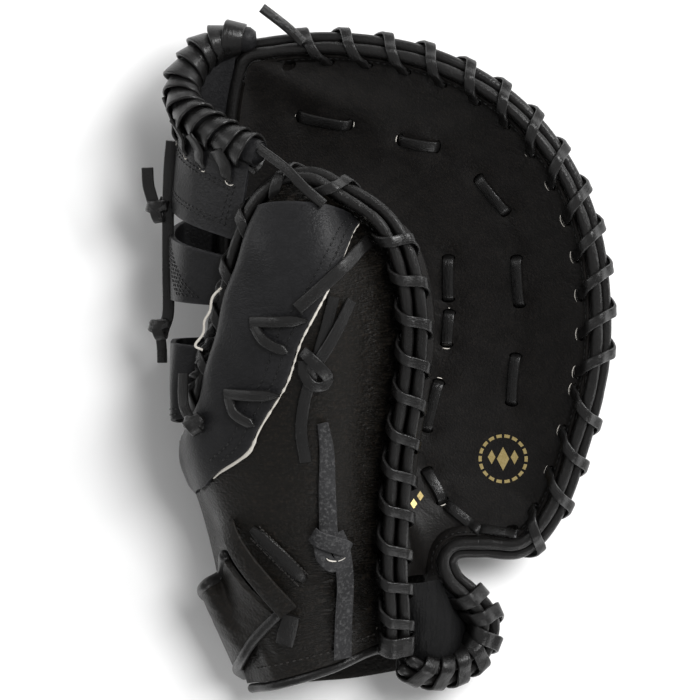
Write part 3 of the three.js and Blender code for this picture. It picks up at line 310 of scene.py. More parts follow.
def palm_section(v):
    tip = v >= 1
    rail = {name: along_rail(rows, v) for name, rows in PALM_RAILS.items()}
    finger, thumb = finger_edge.at("rim", v), thumb_edge.at("rim", v)
    side = WELT_SPREAD
    finger_end, finger_in = web_end(finger_edge, v, side, rail["finger_side"], rail["pocket_floor"])
    thumb_end, thumb_in = web_end(thumb_edge, v, side, rail["thumb_side"], rail["thumb_under"])

    def near(edge, share, other):
        return beside(edge.between(share), -EDGE_GAP, side) if tip else other

    return [
        beside(finger, -EDGE_GAP, side),
        near(finger_edge, 0.15, beside(finger, -EDGE_RUN, side)),
        near(finger_edge, 0.35, rail["finger_middle"]),
        near(finger_edge, 0.6, rail["pocket_floor"]),
        near(finger_edge, 0.85, finger_in),
        finger_end,
        rail["fold"],
        thumb_end,
        near(thumb_edge, 0.85, thumb_in),
        near(thumb_edge, 0.6, rail["thumb_under"]),
        near(thumb_edge, 0.35, rail["thumb_swell"]),
        near(thumb_edge, 0.15, beside(thumb, -EDGE_RUN, side)),
        beside(thumb, -EDGE_GAP, side),
    ]


class Leather:
    """A surface read at u across its section and v along the mitt."""

    NORMAL_STEP = 0.01

    def __init__(self, section, lowest=0.0):
        self.section = section
        self.lowest = lowest

    def row(self, us, v):
        return through(self.section(v), us)

    def grid(self, us, vs):
        return np.array([self.row(us, v) for v in vs])

    def point(self, u, v):
        return self.row([u], v)[0]

    def normal(self, u, v):
        step = self.NORMAL_STEP
        low, high = max(u - step, 0), min(u + step, 1)
        ends = self.row([low, high], v)
        down, up = self.point(u, max(v - step, self.lowest)), self.point(u, min(v + step, 1))
        return unit(np.cross(ends[1] - ends[0], up - down))

    def over(self, u, v, lift):
        return self.point(u, v) + lift * self.normal(u, v)


def split_spans(cells):
    spans = len(cells)
    us = [(k + i / count) / spans for k, count in enumerate(cells) for i in range(count)]
    return np.array(us + [1.0])


def split_runs(stops, step):
    """Values from stop to stop, no further apart than step, that keep every stop."""
    found = []
    for a, b in zip(stops, stops[1:]):
        count = max(1, math.ceil((b - a) / step - 1e-9))
        found.extend(a + (b - a) * i / count for i in range(count))
    return np.array(found + [stops[-1]])


def in_scene(name, data):
    made = bpy.data.objects.new(name, data)
    bpy.context.scene.collection.objects.link(made)
    return made


def mesh_of(name, points, faces, uv=None, edge_wear_and_highlight=None, slots=None, smooth_angle=40, pull=None):
    """A mesh from points in millimetres, with its lay in a UV map and a mask of edge wear and painted edge
    highlight in an attribute.
    """
    mesh = bpy.data.meshes.new(name)
    mesh.from_pydata((np.asarray(points) * MM).tolist(), [], faces)
    if uv is not None:
        layer = mesh.uv_layers.new(name="lay")
        corners = np.zeros(len(mesh.loops), int)
        mesh.loops.foreach_get("vertex_index", corners)
        layer.uv.foreach_set("vector", np.asarray(uv)[corners].ravel().astype(np.float32))
    if edge_wear_and_highlight is not None:
        wear_and_highlight_mask = mesh.attributes.new("edge_wear_and_highlight", "FLOAT", "POINT")
        wear_and_highlight_mask.data.foreach_set("value", np.asarray(edge_wear_and_highlight, np.float32))
    if pull is not None:
        drawn = mesh.attributes.new("pull", "FLOAT", "POINT")
        drawn.data.foreach_set("value", np.asarray(pull, np.float32))
    if slots is not None:
        mesh.polygons.foreach_set("material_index", np.asarray(slots, np.int32))
    mesh.shade_smooth()
    mesh.set_sharp_from_angle(angle=math.radians(smooth_angle))
    mesh.update()
    return in_scene(name, mesh)


def grid_normals(grid):
    rows, columns = grid.shape[:2]
    j, i = np.arange(rows), np.arange(columns)
    across = grid[:, np.minimum(i + 1, columns - 1)] - grid[:, np.maximum(i - 1, 0)]
    along = grid[np.minimum(j + 1, rows - 1)] - grid[np.maximum(j - 1, 0)]
    return unit(np.cross(across, along))


def leather_sheet(
    name, grid, thickness, lift=0.0, kept=None, relief=None, settle=None, pull=None, eased=0.35
):
    """A sheet of even thickness on a grid of points. Cut edges take the second material."""
    rows, columns = grid.shape[:2]
    normals = grid_normals(grid)
    raised = np.zeros((rows, columns)) if relief is None else relief
    kept = np.ones((rows - 1, columns - 1), bool) if kept is None else kept
    sides = []
    for side in (0.5, -0.5):
        face = grid + normals * (lift + side * thickness + raised)[..., None]
        sides.append(face if settle is None else settle(face, side))
    points = np.concatenate([side.reshape(-1, 3) for side in sides])
    middle_row, middle_column = grid[rows // 2], grid[:, columns // 2]
    run_u = np.concatenate([[0], np.cumsum(np.linalg.norm(np.diff(middle_row, axis=0), axis=1))])
    run_v = np.concatenate([[0], np.cumsum(np.linalg.norm(np.diff(middle_column, axis=0), axis=1))])
    lay = np.stack(np.meshgrid(run_u, run_v), axis=-1).reshape(-1, 2) * MM * LAY_PER_METRE
    index = np.arange(rows * columns).reshape(rows, columns)
    under = index + rows * columns
    faces, slots = [], []
    edge_points = set()

    def is_kept(j, i):
        return 0 <= j < rows - 1 and 0 <= i < columns - 1 and kept[j, i]

    for j in range(rows - 1):
        for i in range(columns - 1):
            if not kept[j, i]:
                continue
            ring = [(j, i), (j, i + 1), (j + 1, i + 1), (j + 1, i)]
            faces.append([int(index[p]) for p in ring])
            faces.append([int(under[p]) for p in reversed(ring)])
            slots += [0, 0]
            neighbours = [(j - 1, i), (j, i + 1), (j + 1, i), (j, i - 1)]
            for k, beyond in enumerate(neighbours):
                if is_kept(*beyond):
                    continue
                a, b = ring[k], ring[(k + 1) % 4]
                faces.append([int(index[b]), int(index[a]), int(under[a]), int(under[b])])
                slots.append(1)
                edge_points.update((index[a], index[b]))
    used = sorted({p for face in faces for p in face})
    number = {p: k for k, p in enumerate(used)}
    faces = [[number[p] for p in face] for face in faces]
    # Cut edges are marked for wear and a painted highlight, which the hide paints lighter.
    wear_and_highlight_mask = np.zeros(rows * columns)
    wear_and_highlight_mask[list(edge_points)] = 1
    wear_and_highlight_mask = np.tile(wear_and_highlight_mask, 2)[used]
    drawn = np.zeros((rows, columns)) if pull is None else pull
    drawn = np.tile(drawn.ravel(), 2)[used]
    made = mesh_of(name, points[used], faces, np.tile(lay, (2, 1))[used], wear_and_highlight_mask, slots, pull=drawn)
    return ease_edges(outward(made), eased)


def outward(made):
    """Turns a closed mesh's faces outwards."""
    mesh = made.data
    points = np.zeros(len(mesh.vertices) * 3)
    mesh.vertices.foreach_get("co", points)
    points = points.reshape(-1, 3)
    volume = 0.0
    for face in mesh.polygons:
        ring = [points[k] for k in face.vertices]
        for b, c in zip(ring[1:], ring[2:]):
            volume += float(np.dot(ring[0], np.cross(b, c)))
    if volume < 0:
        mesh.flip_normals()
    return made


def apply_modifiers(made):
    """Puts the result of the modifiers into the piece's own mesh."""
    bpy.context.view_layer.update()
    graph = bpy.context.evaluated_depsgraph_get()
    mesh = bpy.data.meshes.new_from_object(made.evaluated_get(graph))
    made.modifiers.clear()
    old = made.data
    made.data = mesh
    bpy.data.meshes.remove(old)
    return made


def ease_edges(made, width):
    bevel = made.modifiers.new("eased edges", "BEVEL")
    bevel.width = width * MM
    bevel.segments = 2
    bevel.limit_method = "ANGLE"
    bevel.angle_limit = math.radians(50)
    return apply_modifiers(made)


HOLE_LENGTH = 6.6
HOLE_WIDTH = 3.4
HOLE_SIDES = 18
PUNCH_REACH = 4.2


def punch(made, holes):
    """Cuts lace holes: each has a middle, an axis through the leather and its long way."""
    points, faces = [], []
    for middle, axis, long_way in holes:
        axis = unit(axis)
        long_way = unit(long_way - np.dot(long_way, axis) * axis)
        short_way = np.cross(axis, long_way)
        start = len(points)
        for end in (-PUNCH_REACH, PUNCH_REACH):
            for k in range(HOLE_SIDES):
                angle = 2 * math.pi * k / HOLE_SIDES
                points.append(
                    middle
                    + axis * end
                    + long_way * math.cos(angle) * HOLE_LENGTH / 2
                    + short_way * math.sin(angle) * HOLE_WIDTH / 2
                )
        ring = list(range(start, start + HOLE_SIDES))
        faces.append(ring[::-1])
        faces.append([k + HOLE_SIDES for k in ring])
        for k in range(HOLE_SIDES):
            a, b = ring[k], ring[(k + 1) % HOLE_SIDES]
            faces.append([a, b, b + HOLE_SIDES, a + HOLE_SIDES])
    punches = mesh_of("hole punches", points, faces)
    cut = made.modifiers.new("lace holes", "BOOLEAN")
    cut.operation = "DIFFERENCE"
    cut.solver = "MANIFOLD"
    cut.object = punches
    apply_modifiers(made)
    bpy.data.objects.remove(punches)
    made.data.shade_smooth()
    made.data.set_sharp_from_angle(angle=math.radians(40))
    return made


def whip_places(edge, start, end, pitch):
    """Lengths along an edge where a whip lace passes through the leathers."""
    first, last = edge.length_at(*start), edge.length_at(*end)
    count = max(1, round((last - first) / pitch))
    return np.linspace(first, last, count + 1)


LACE_PITCH = 19.0
HEEL_PITCH = 10.5
WEB_PITCH = 21.5
WIDE_LACE = 7.2
WHIP_WIDTH = 5.1
# Name, edge, first hole, last hole, pitch and the way that the lace runs
WHIP_LACES = [
    ("heel_lace", finger_edge, ("heel", 0.1), ("rim", 0.12), HEEL_PITCH, -1),
    ("finger_rim_lace_lower", finger_edge, ("rim", 0.32), ("rim", 0.5), LACE_PITCH, -1),
    ("finger_rim_lace_upper", finger_edge, ("rim", 0.515), ("rim", 0.985), LACE_PITCH, 1),
    ("thumb_rim_lace", thumb_edge, ("rim", 0.03), ("rim", 0.88), LACE_PITCH, 1),
    ("thumb_web_lace", thumb_edge, ("rim", 0.96), ("web", 0.45), WEB_PITCH, 1),
]


def whip_holes(side, edges):
    holes = []
    for _, edge, start, end, pitch, _ in WHIP_LACES:
        if edge not in edges:
            continue
        for s in whip_places(edge, start, end, pitch):
            spot = edge.at_length(s)
            holes.append((beside(spot, -HOLE_INSET, side), spot["palm"], spot["along"]))
    return holes


# Each row is a hole of a running lace in the palm, as u and v
PALM_LACE_ROUTES = {
    "palm_lace_outer": [
        (0.26, 0.932),
        (0.208, 0.911),
        (0.178, 0.879),
        (0.155, 0.853),
        (0.148, 0.8),
        (0.143, 0.748),
        (0.153, 0.696),
        (0.16, 0.638),
        (0.165, 0.57),
        (0.168, 0.501),
    ],
    "palm_lace_inner": [
        (0.217, 0.717),
        (0.225, 0.653),
        (0.225, 0.632),
        (0.228, 0.58),
        (0.236, 0.517),
        (0.25, 0.438),
    ],
    "palm_lace_heel": [(0.267, 0.37), (0.287, 0.323)],
}
palm_leather = Leather(palm_section, PALM_START)


def lace_hole_frames(route):
    """Middle, normal and way along of each hole of a running lace."""
    found = []
    for i, (u, v) in enumerate(route):
        a, b = (route[i], route[i + 1]) if i % 2 == 0 else (route[i - 1], route[i])
        way = unit(palm_leather.point(*b) - palm_leather.point(*a))
        normal = palm_leather.normal(u, v)
        found.append((palm_leather.point(u, v), normal, way))
    return found


palm_us = split_spans([8, 14, 16, 18, 8, 6, 6, 8, 12, 14, 9, 8])
palm_vs = split_runs([PALM_START, 0.25, 0.3, 0.36, CROTCH, 0.9, 1.0], 0.0065)
palm_grid = palm_leather.grid(palm_us, palm_vs)
row_middles = (palm_vs[1:] + palm_vs[:-1]) / 2
column_middles = (palm_us[1:] + palm_us[:-1]) / 2
in_window = (column_middles > 5 / 12) & (column_middles < 7 / 12)
palm_kept = ~((row_middles > CROTCH)[:, None] & in_window[None, :])


def bump_field(grid, centres, depth, reach):
    """Soft dents, in millimetres, round the centres."""
    field = np.zeros(grid.shape[:2])
    for centre in centres:
        away = np.linalg.norm(grid - centre, axis=-1)
        field = np.maximum(field, np.exp(-((away / reach) ** 2)))
    return field * depth


def ripple_field(grid, centre, reach, way, pitch, depth, bend):
    """Short folds, in millimetres, that fade away from a centre."""
    offset = grid - centre
    away = np.linalg.norm(offset, axis=-1)
    across = offset @ unit(way)
    wave = np.sin(2 * math.pi * (across + bend * away**2 / reach) / pitch)
    return depth * wave * np.exp(-((away / reach) ** 2))


def ripples(grid, rows):
    """Several ripple fields together: rows of centre, reach, way, pitch, depth and bend."""
    return sum(ripple_field(grid, np.array(centre), *rest) for centre, *rest in rows)


def relaxed(grid, held, rounds):
    """Evens out a grid of points where it isn't held, as padding does under leather."""
    for _ in range(rounds):
        mean = grid.copy()
        mean[1:-1, 1:-1] = (grid[:-2, 1:-1] + grid[2:, 1:-1] + grid[1:-1, :-2] + grid[1:-1, 2:]) / 4
        grid = np.where(held[..., None], grid, (grid + mean) / 2)
    return grid


palm_held = np.zeros(palm_grid.shape[:2], bool)
palm_held[:, palm_us < 0.05] = True
palm_held[:, palm_us > 0.95] = True
palm_held[[0, 1, -1]] = True
palm_held[np.ix_(palm_vs >= CROTCH - 0.01, (palm_us > 5 / 12 - 0.02) & (palm_us < 7 / 12 + 0.02))] = True
palm_grid = relaxed(palm_grid, palm_held, 60)
palm_grid = relaxed(palm_grid, palm_held | (palm_vs > 0.37)[:, None], 400)
hole_middles = [row[0] for route in PALM_LACE_ROUTES.values() for row in lace_hole_frames(route)]
palm_relief = bump_field(palm_grid, hole_middles, 1.2, 6.0)
whip_middles = [hole[0] for hole in whip_holes(WELT_SPREAD, [finger_edge, thumb_edge])]
palm_relief += bump_field(palm_grid, whip_middles, 0.5, 5.0)
palm_pull = bump_field(palm_grid, hole_middles + whip_middles, 1.0, 9.0)
palm = leather_sheet(
    "palm_leather", palm_grid, PALM_THICKNESS, kept=palm_kept, relief=palm_relief, pull=palm_pull
)
running_holes = []
for route in PALM_LACE_ROUTES.values():
    for middle, normal, way in lace_hole_frames(route):
        running_holes.append((middle, normal, np.cross(normal, way)))
punch(palm, whip_holes(WELT_SPREAD, [finger_edge, thumb_edge])[5:] + running_holes)


def node(tree, kind, inputs=None, **settings):
    made = tree.nodes.new(kind)
    for key, value in settings.items():
        setattr(made, key, value)
    for key, value in (inputs or {}).items():
        if isinstance(value, bpy.types.NodeSocket):
            tree.links.new(value, made.inputs[key])
        else:
            made.inputs[key].default_value = value
    return made


def maths(tree, operation, *values):
    return node(tree, "ShaderNodeMath", dict(enumerate(values)), operation=operation).outputs[0]


def mix(tree, factor, under, over):
    """A colour between two, each of them a socket or three numbers."""
    ends = [end if isinstance(end, bpy.types.NodeSocket) else (*end, 1) for end in (under, over)]
    made = node(tree, "ShaderNodeMix", {"Factor": factor, "A": ends[0], "B": ends[1]}, data_type="RGBA")
    return made.outputs["Result"]


def new_material(name):
    made = bpy.data.materials.new(name)
    made.use_nodes = True
    return made, made.node_tree


def new_group(name, inputs, outputs, kind="ShaderNodeTree"):
    tree = bpy.data.node_groups.new(name, kind)
    for label, socket_kind, value in inputs:
        socket = tree.interface.new_socket(name=label, in_out="INPUT", socket_type=socket_kind)
        if value is not None:
            socket.default_value = value
    for label, socket_kind in outputs:
        tree.interface.new_socket(name=label, in_out="OUTPUT", socket_type=socket_kind)
    return tree, tree.nodes.new("NodeGroupInput").outputs, tree.nodes.new("NodeGroupOutput").inputs


# Grain of the hide: pores and pebbles, with softer and coarser patches
FLOAT, VECTOR = "NodeSocketFloat", "NodeSocketVector"
grain_tree, grain_in, grain_out = new_group(
    "hide grain",
    [("Place", VECTOR, None), ("Pebbles per metre", FLOAT, 900.0), ("Patches per metre", FLOAT, 45.0)],
    [("Height", FLOAT), ("Patches", FLOAT), ("Speckle", FLOAT)],
)
pebbles = node(
    grain_tree,
    "ShaderNodeTexVoronoi",
    {"Vector": grain_in["Place"], "Scale": grain_in["Pebbles per metre"], "Smoothness": 0.5},
    feature="SMOOTH_F1",
)
fine = node(
    grain_tree,
    "ShaderNodeTexNoise",
    {
        "Vector": grain_in["Place"],
        "Scale": grain_in["Pebbles per metre"],
        "Detail": 3.0,
        "Roughness": 0.65,
    },
)
patches = node(
    grain_tree,
    "ShaderNodeTexNoise",
    {"Vector": grain_in["Place"], "Scale": grain_in["Patches per metre"], "Detail": 3.0, "Roughness": 0.55},
)
both = maths(grain_tree, "MULTIPLY", pebbles.outputs["Distance"], 0.7)
height = maths(grain_tree, "SUBTRACT", fine.outputs["Fac"], both)
speckle = node(
    grain_tree,
    "ShaderNodeMapRange",
    {"Value": fine.outputs["Fac"], "From Min": 0.5, "From Max": 0.72, "To Min": 0.0, "To Max": 1.0},
)
grain_tree.links.new(height, grain_out["Height"])
grain_tree.links.new(patches.outputs["Fac"], grain_out["Patches"])
grain_tree.links.new(speckle.outputs[0], grain_out["Speckle"])

# Creases that run one way across the hide, as handling leaves them, with a mask of their grooves for
# painted shade
crease_tree, crease_in, crease_out = new_group(
    "hide creases",
    [("Place", VECTOR, None), ("Stretch", VECTOR, (1.0, 1.0, 1.0)), ("Waver", FLOAT, 0.6)],
    [("Height", FLOAT), ("Painted crease shade", FLOAT)],
)
stretched = node(
    crease_tree,
    "ShaderNodeVectorMath",
    {0: crease_in["Place"], 1: crease_in["Stretch"]},
    operation="MULTIPLY",
)
waver = node(
    crease_tree,
    "ShaderNodeTexNoise",
    {"Vector": stretched.outputs[0], "Scale": 0.35, "Detail": 2.0, "Distortion": crease_in["Waver"]},
)
shifted = node(
    crease_tree,
    "ShaderNodeVectorMath",
    {0: stretched.outputs[0], 1: waver.outputs["Color"]},
    operation="ADD",
)
folds = node(
    crease_tree,
    "ShaderNodeTexNoise",
    {"Vector": shifted.outputs[0], "Scale": 1.0, "Detail": 3.0, "Roughness": 0.6},
)
away = maths(crease_tree, "ABSOLUTE", maths(crease_tree, "SUBTRACT", folds.outputs["Fac"], 0.5))
groove = node(
    crease_tree,
    "ShaderNodeMapRange",
    {"Value": away, "From Min": 0.0, "From Max": 0.1},
    interpolation_type="SMOOTHSTEP",
)
crease_tree.links.new(groove.outputs[0], crease_out["Height"])
crease_tree.links.new(maths(crease_tree, "SUBTRACT", 1.0, groove.outputs[0]), crease_out["Painted crease shade"])


def hide(
    name,
    dark,
    light,
    speck,
    rough,
    pebbles_per_metre=900,
    grain_depth=0.09,
    creases=None,
    crease_depth=0.0,
    crease_mask=None,
    speckled=0.25,
    wear_and_highlight_share=0.3,
    gloss=0.35,
):
    """A leather: dark and light patches, specks, grain, creases with painted shade along their grooves, and
    edges painted lighter where it is rubbed, for wear and a highlight.
    """
    made, tree = new_material(name)
    tree.nodes.clear()
    place = node(tree, "ShaderNodeTexCoord").outputs
    grain = node(
        tree,
        "ShaderNodeGroup",
        {"Place": place["Object"], "Pebbles per metre": pebbles_per_metre},
        node_tree=grain_tree,
    ).outputs
    edge_wear_and_highlight = node(tree, "ShaderNodeAttribute", attribute_name="edge_wear_and_highlight")
    colour = mix(tree, grain["Patches"], dark, light)
    colour = mix(tree, maths(tree, "MULTIPLY", grain["Speckle"], speckled), colour, speck)
    # Wear and painted highlight: marked edges are mixed towards a lighter colour.
    wear_and_highlight_mask = maths(tree, "MULTIPLY", edge_wear_and_highlight.outputs["Fac"], wear_and_highlight_share)
    colour = mix(tree, wear_and_highlight_mask, colour, [3.2 * c for c in light])
    roughness = node(
        tree,
        "ShaderNodeMapRange",
        {
            "Value": grain["Patches"],
            "From Min": 0.3,
            "From Max": 0.7,
            "To Min": rough - 0.07,
            "To Max": rough + 0.08,
        },
    )
    bump_inputs = {"Height": grain["Height"], "Distance": grain_depth * MM, "Strength": 1.0}
    normal = node(tree, "ShaderNodeBump", bump_inputs).outputs["Normal"]
    if creases is not None:
        lie, stretch = creases
        fold = node(
            tree,
            "ShaderNodeGroup",
            {"Place": place["UV" if lie == "lay" else "Object"], "Stretch": stretch},
            node_tree=crease_tree,
        ).outputs
        strength = 0.5
        if crease_mask:
            pull = node(tree, "ShaderNodeAttribute", attribute_name=crease_mask).outputs["Fac"]
            reach = {"Value": pull, "To Min": 0.12, "To Max": 1.0}
            strength = node(tree, "ShaderNodeMapRange", reach).outputs[0]
        bump_inputs = {"Height": fold["Height"], "Distance": crease_depth * MM, "Strength": strength}
        normal = node(tree, "ShaderNodeBump", {**bump_inputs, "Normal": normal}).outputs["Normal"]
        # Painted shade: the colour darkens along the crease grooves.
        colour = mix(tree, maths(tree, "MULTIPLY", fold["Painted crease shade"], 0.35), colour, [0.45 * c for c in dark])
    shader = node(
        tree,
        "ShaderNodeBsdfPrincipled",
        {
            "Base Color": colour,
            "Roughness": roughness.outputs[0],
            "Normal": normal,
            "Specular IOR Level": gloss,
        },
    )
    out = node(tree, "ShaderNodeOutputMaterial", {"Surface": shader.outputs["BSDF"]})
    out.is_active_output = True
    return made


palm_hide = hide(
    "palm hide",
    (0.0032, 0.0029, 0.0028),
    (0.006, 0.0054, 0.0051),
    (0.028, 0.022, 0.017),
    0.5,
    pebbles_per_metre=1050,
    grain_depth=0.11,
    creases=("object", (60.0, 75.0, 60.0)),
    crease_depth=0.16,
    crease_mask="pull",
    speckled=0.25,
    gloss=0.36,
)
palm_cut_edge = hide("palm cut edge", (0.03, 0.028, 0.026), (0.06, 0.056, 0.05), (0.1, 0.09, 0.08), 0.85)


def dress(made, slot, *materials, replaces=()):
    """Gives a piece its materials and the body it rides on, and hides the CAD nodes that it replaces."""
    made.data.materials.clear()
    for material in materials:
        made.data.materials.append(material)
    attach(made, "root")
    if replaces:
        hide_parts(*replaces)
    return made


dress(palm, "shell_leather", palm_hide, palm_cut_edge, replaces=["palm"])


# Heel pad: a curved pad of the palm's leather between the little finger side and the thumb,
# filled with felt, laced in at the wrist and tucked under the palm at its arch.
HEEL_THICKNESS = 3.2
HEEL_END = 0.148
HEEL_RAILS = {
    "outer": [(0.0, 15.0, -46.8, 31), (0.08, 14.5, -39.5, 37), (0.2, 10.2, -30.5, 30)],
    "inner": [(0.0, 9.5, -46.8, 37), (0.08, 8.5, -39.5, 45), (0.2, 6.8, -30.8, 38)],
}


def heel_section(v):
    finger, thumb = finger_edge.at("rim", v), thumb_edge.at("rim", v)
    return [
        beside(finger, -EDGE_GAP, WELT_SPREAD),
        beside(finger, -EDGE_RUN, WELT_SPREAD),
        along_rail(HEEL_RAILS["outer"], v),
        along_rail(HEEL_RAILS["inner"], v),
        beside(thumb, -EDGE_RUN, WELT_SPREAD),
        beside(thumb, -EDGE_GAP, WELT_SPREAD),
    ]


heel_leather = Leather(heel_section)
heel_us = split_spans([8, 10, 12, 10, 8])
heel_grid = heel_leather.grid(heel_us, split_runs([0, HEEL_END], 0.004))
HEEL_RIPPLES = [
    ((36.0, -120.0, 44.0), 10, (0.95, 0.3, 0), 7.0, -0.35, 0.12),
    ((22.0, -138.0, 46.0), 9, (0.7, -0.6, 0), 8.0, -0.3, 0.1),
]
heel_relief = ripples(heel_grid, HEEL_RIPPLES)
heel_pad = leather_sheet("heel_pad_leather", heel_grid, HEEL_THICKNESS, relief=heel_relief, eased=0.8)
punch(heel_pad, whip_holes(WELT_SPREAD, [finger_edge, thumb_edge])[:6])
heel_hide = hide(
    "heel hide",
    (0.0038, 0.0038, 0.004),
    (0.0066, 0.0066, 0.0068),
    (0.03, 0.03, 0.03),
    0.62,
    grain_depth=0.2,
    creases=("object", (190.0, 28.0, 60.0)),
    crease_depth=0.4,
    speckled=0.12,
    gloss=0.2,
)
dress(heel_pad, "shell_leather", heel_hide, palm_cut_edge, replaces=["heel_pad"])


# Backs: the finger back lies on the floor and carries the four fingers, the thumb back lies
# on top. Both are softer, browner leather than the palm, wrinkled where it is laced.
BACK_RAILS = {
    "belly": [
        (0.0, 18.0, -46.0, 4),
        (0.15, 11.0, -36.0, 6),
        (0.3, 22.5, -26.0, 8),
        (0.42, 35.0, -18.5, 10),
        (0.55, 41.0, -2.5, 12),
        (0.7, 38.0, 18.0, 13),
        (0.85, 17.0, 36.0, 14),
        (1.0, -26.0, 42.2, 38),
    ],
    "floor_line": [
        (0.0, -4.5, -49.5, -2),
        (0.15, -9.0, -38.0, -3),
        (0.3, -3.0, -26.0, -4),
        (0.42, -3.0, -13.5, -5),
        (0.55, -4.0, 0.0, -5),
        (0.7, -4.0, 15.0, -4),
        (0.85, -9.0, 29.0, 0),
        (1.0, -28.8, 41.5, 37),
    ],
    "hand_back_low": [
        (0.0, -23.0, -50.5, 7),
        (0.15, -29.5, -38.5, 8),
        (0.3, -33.5, -25.5, 9),
        (0.42, -38.5, -13.5, 14),
    ],
    "hand_back_left": [
        (0.0, -28.5, -49.5, 26),
        (0.15, -33.0, -38.5, 30),
        (0.3, -37.5, -25.0, 37),
        (0.42, -43.0, -13.5, 44),
    ],
    "hand_back_high": [
        (0.0, -22.5, -48.5, 42),
        (0.15, -27.0, -36.5, 54),
        (0.3, -32.5, -23.0, 64),
        (0.42, -37.0, -12.5, 70),
        (0.55, -34.5, -4.0, 79),
        (0.7, -30.5, 6.5, 87),
        (0.85, -26.5, 15.0, 92),
        (1.0, -22.0, 23.0, 88),
    ],
    "crown": [
        (0.0, -11.0, -46.0, 49),
        (0.15, -11.0, -35.0, 61),
        (0.3, -12.0, -23.0, 75),
        (0.42, -13.0, -13.0, 85),
        (0.55, -13.0, -3.5, 92),
        (0.7, -12.0, 5.5, 97),
        (0.85, -12.0, 14.0, 97),
        (1.0, -15.0, 24.0, 88),
    ],
}


def smoothstep(low, high, value):
    share = min(max((value - low) / (high - low), 0), 1)
    return share * share * (3 - 2 * share)


def back_web_end(edge, v, rail, following):
    """Below the web a back stops at the open back of the hand; above, it reaches the web edge."""
    spot = edge.at("web", max(v, CROTCH))
    reach = smoothstep(CROTCH - 0.02, CROTCH + 0.1, v)
    end = beside(spot, -EDGE_GAP, -WELT_SPREAD)
    inside = beside(spot, -WEB_EDGE_RUN, -WELT_SPREAD)
    free = rail + (following - rail) * 0.25
    return rail + (end - rail) * reach, free + (inside - free) * reach


def back_end(edge, v, share, other):
    return beside(edge.between(share), -EDGE_GAP, -WELT_SPREAD) if v >= 1 else other


def finger_back_section(v):
    rail = {name: along_rail(rows, v) for name, rows in BACK_RAILS.items()}
    finger = finger_edge.at("rim", v)
    end, inside = back_web_end(finger_edge, v, rail["hand_back_low"], rail["floor_line"])
    return [
        beside(finger, -EDGE_GAP, -WELT_SPREAD),
        back_end(finger_edge, v, 0.2, beside(finger, -EDGE_RUN, -WELT_SPREAD)),
        back_end(finger_edge, v, 0.4, rail["belly"]),
        back_end(finger_edge, v, 0.6, rail["floor_line"]),
        back_end(finger_edge, v, 0.8, inside),
        end,
    ]


def thumb_back_section(v):
    rail = {name: along_rail(rows, v) for name, rows in BACK_RAILS.items()}
    thumb = thumb_edge.at("rim", v)
    end, inside = back_web_end(thumb_edge, v, rail["hand_back_left"], rail["hand_back_high"])
    return [
        end,
        back_end(thumb_edge, v, 0.8, inside),
        back_end(thumb_edge, v, 0.6, rail["hand_back_high"]),
        back_end(thumb_edge, v, 0.4, rail["crown"]),
        back_end(thumb_edge, v, 0.2, beside(thumb, -EDGE_RUN, -WELT_SPREAD)),
        beside(thumb, -EDGE_GAP, -WELT_SPREAD),
    ]


def rest_on_floor(face, side):
    face[..., 2] = np.maximum(face[..., 2], 0 if side > 0 else BACK_THICKNESS)
    return face


finger_back_leather = Leather(finger_back_section)
thumb_back_leather = Leather(thumb_back_section)
finger_back_grid = finger_back_leather.grid(split_spans([8, 14, 20, 16, 8]), split_runs([0, 1], 0.009))
finger_back = leather_sheet("finger_back_leather", finger_back_grid, BACK_THICKNESS, settle=rest_on_floor)
punch(finger_back, whip_holes(-WELT_SPREAD, [finger_edge]))

thumb_back_vs = split_runs([0, 0.2, CROTCH, 0.9, 1.0], 0.0065)
thumb_back_grid = thumb_back_leather.grid(split_spans([8, 16, 20, 16, 9]), thumb_back_vs)
THUMB_RIPPLES = [
    ((-2.0, -100.0, 70.0), 24, (0.35, 0.9, 0), 12, 0.9, 0.05),
    ((4.0, -62.0, 84.0), 20, (0.9, 0.35, 0), 9, 0.6, -0.06),
    ((-58.0, -140.0, 48.0), 14, (0.9, 0.5, 0), 7, 0.5, 0.06),
]
thumb_relief = ripples(thumb_back_grid, THUMB_RIPPLES)
thumb_holes = [hole[0] for hole in whip_holes(-WELT_SPREAD, [thumb_edge])]
thumb_relief -= bump_field(thumb_back_grid, thumb_holes, 0.7, 4.5)
thumb_pull = bump_field(thumb_back_grid, thumb_holes, 1.0, 17.0)
CROWN_WRINKLES = np.array([-8.0, -110.0, 68.0])
thumb_pull = np.maximum(thumb_pull, bump_field(thumb_back_grid, [CROWN_WRINKLES], 1.0, 30.0))
thumb_back = leather_sheet(
    "thumb_back_leather", thumb_back_grid, BACK_THICKNESS, relief=thumb_relief, pull=thumb_pull
)
punch(thumb_back, whip_holes(-WELT_SPREAD, [thumb_edge]))
back_hide = hide(
    "back hide",
    (0.0032, 0.0029, 0.0024),
    (0.0072, 0.0062, 0.005),
    (0.036, 0.026, 0.019),
    0.45,
    pebbles_per_metre=640,
    grain_depth=0.3,
    creases=("lay", (6.0, 50.0, 1.0)),
    crease_depth=2.8,
    crease_mask="pull",
    speckled=0.3,
    gloss=0.3,
)
back_cut_edge = hide("back cut edge", (0.04, 0.037, 0.033), (0.08, 0.074, 0.066), (0.12, 0.11, 0.1), 0.85)
dress(finger_back, "back_leather", back_hide, back_cut_edge, replaces=["finger_back"])
dress(thumb_back, "back_leather", back_hide, back_cut_edge, replaces=["thumb_back"])


# Welts: two rolls of thin leather along each sewn edge, one beside the palm and one beside
# the back. They are full between the laces and pinched under them.
WELT_MIDDLE = WELT_RADIUS + CLEARANCE
WELT_STEP = 1.6


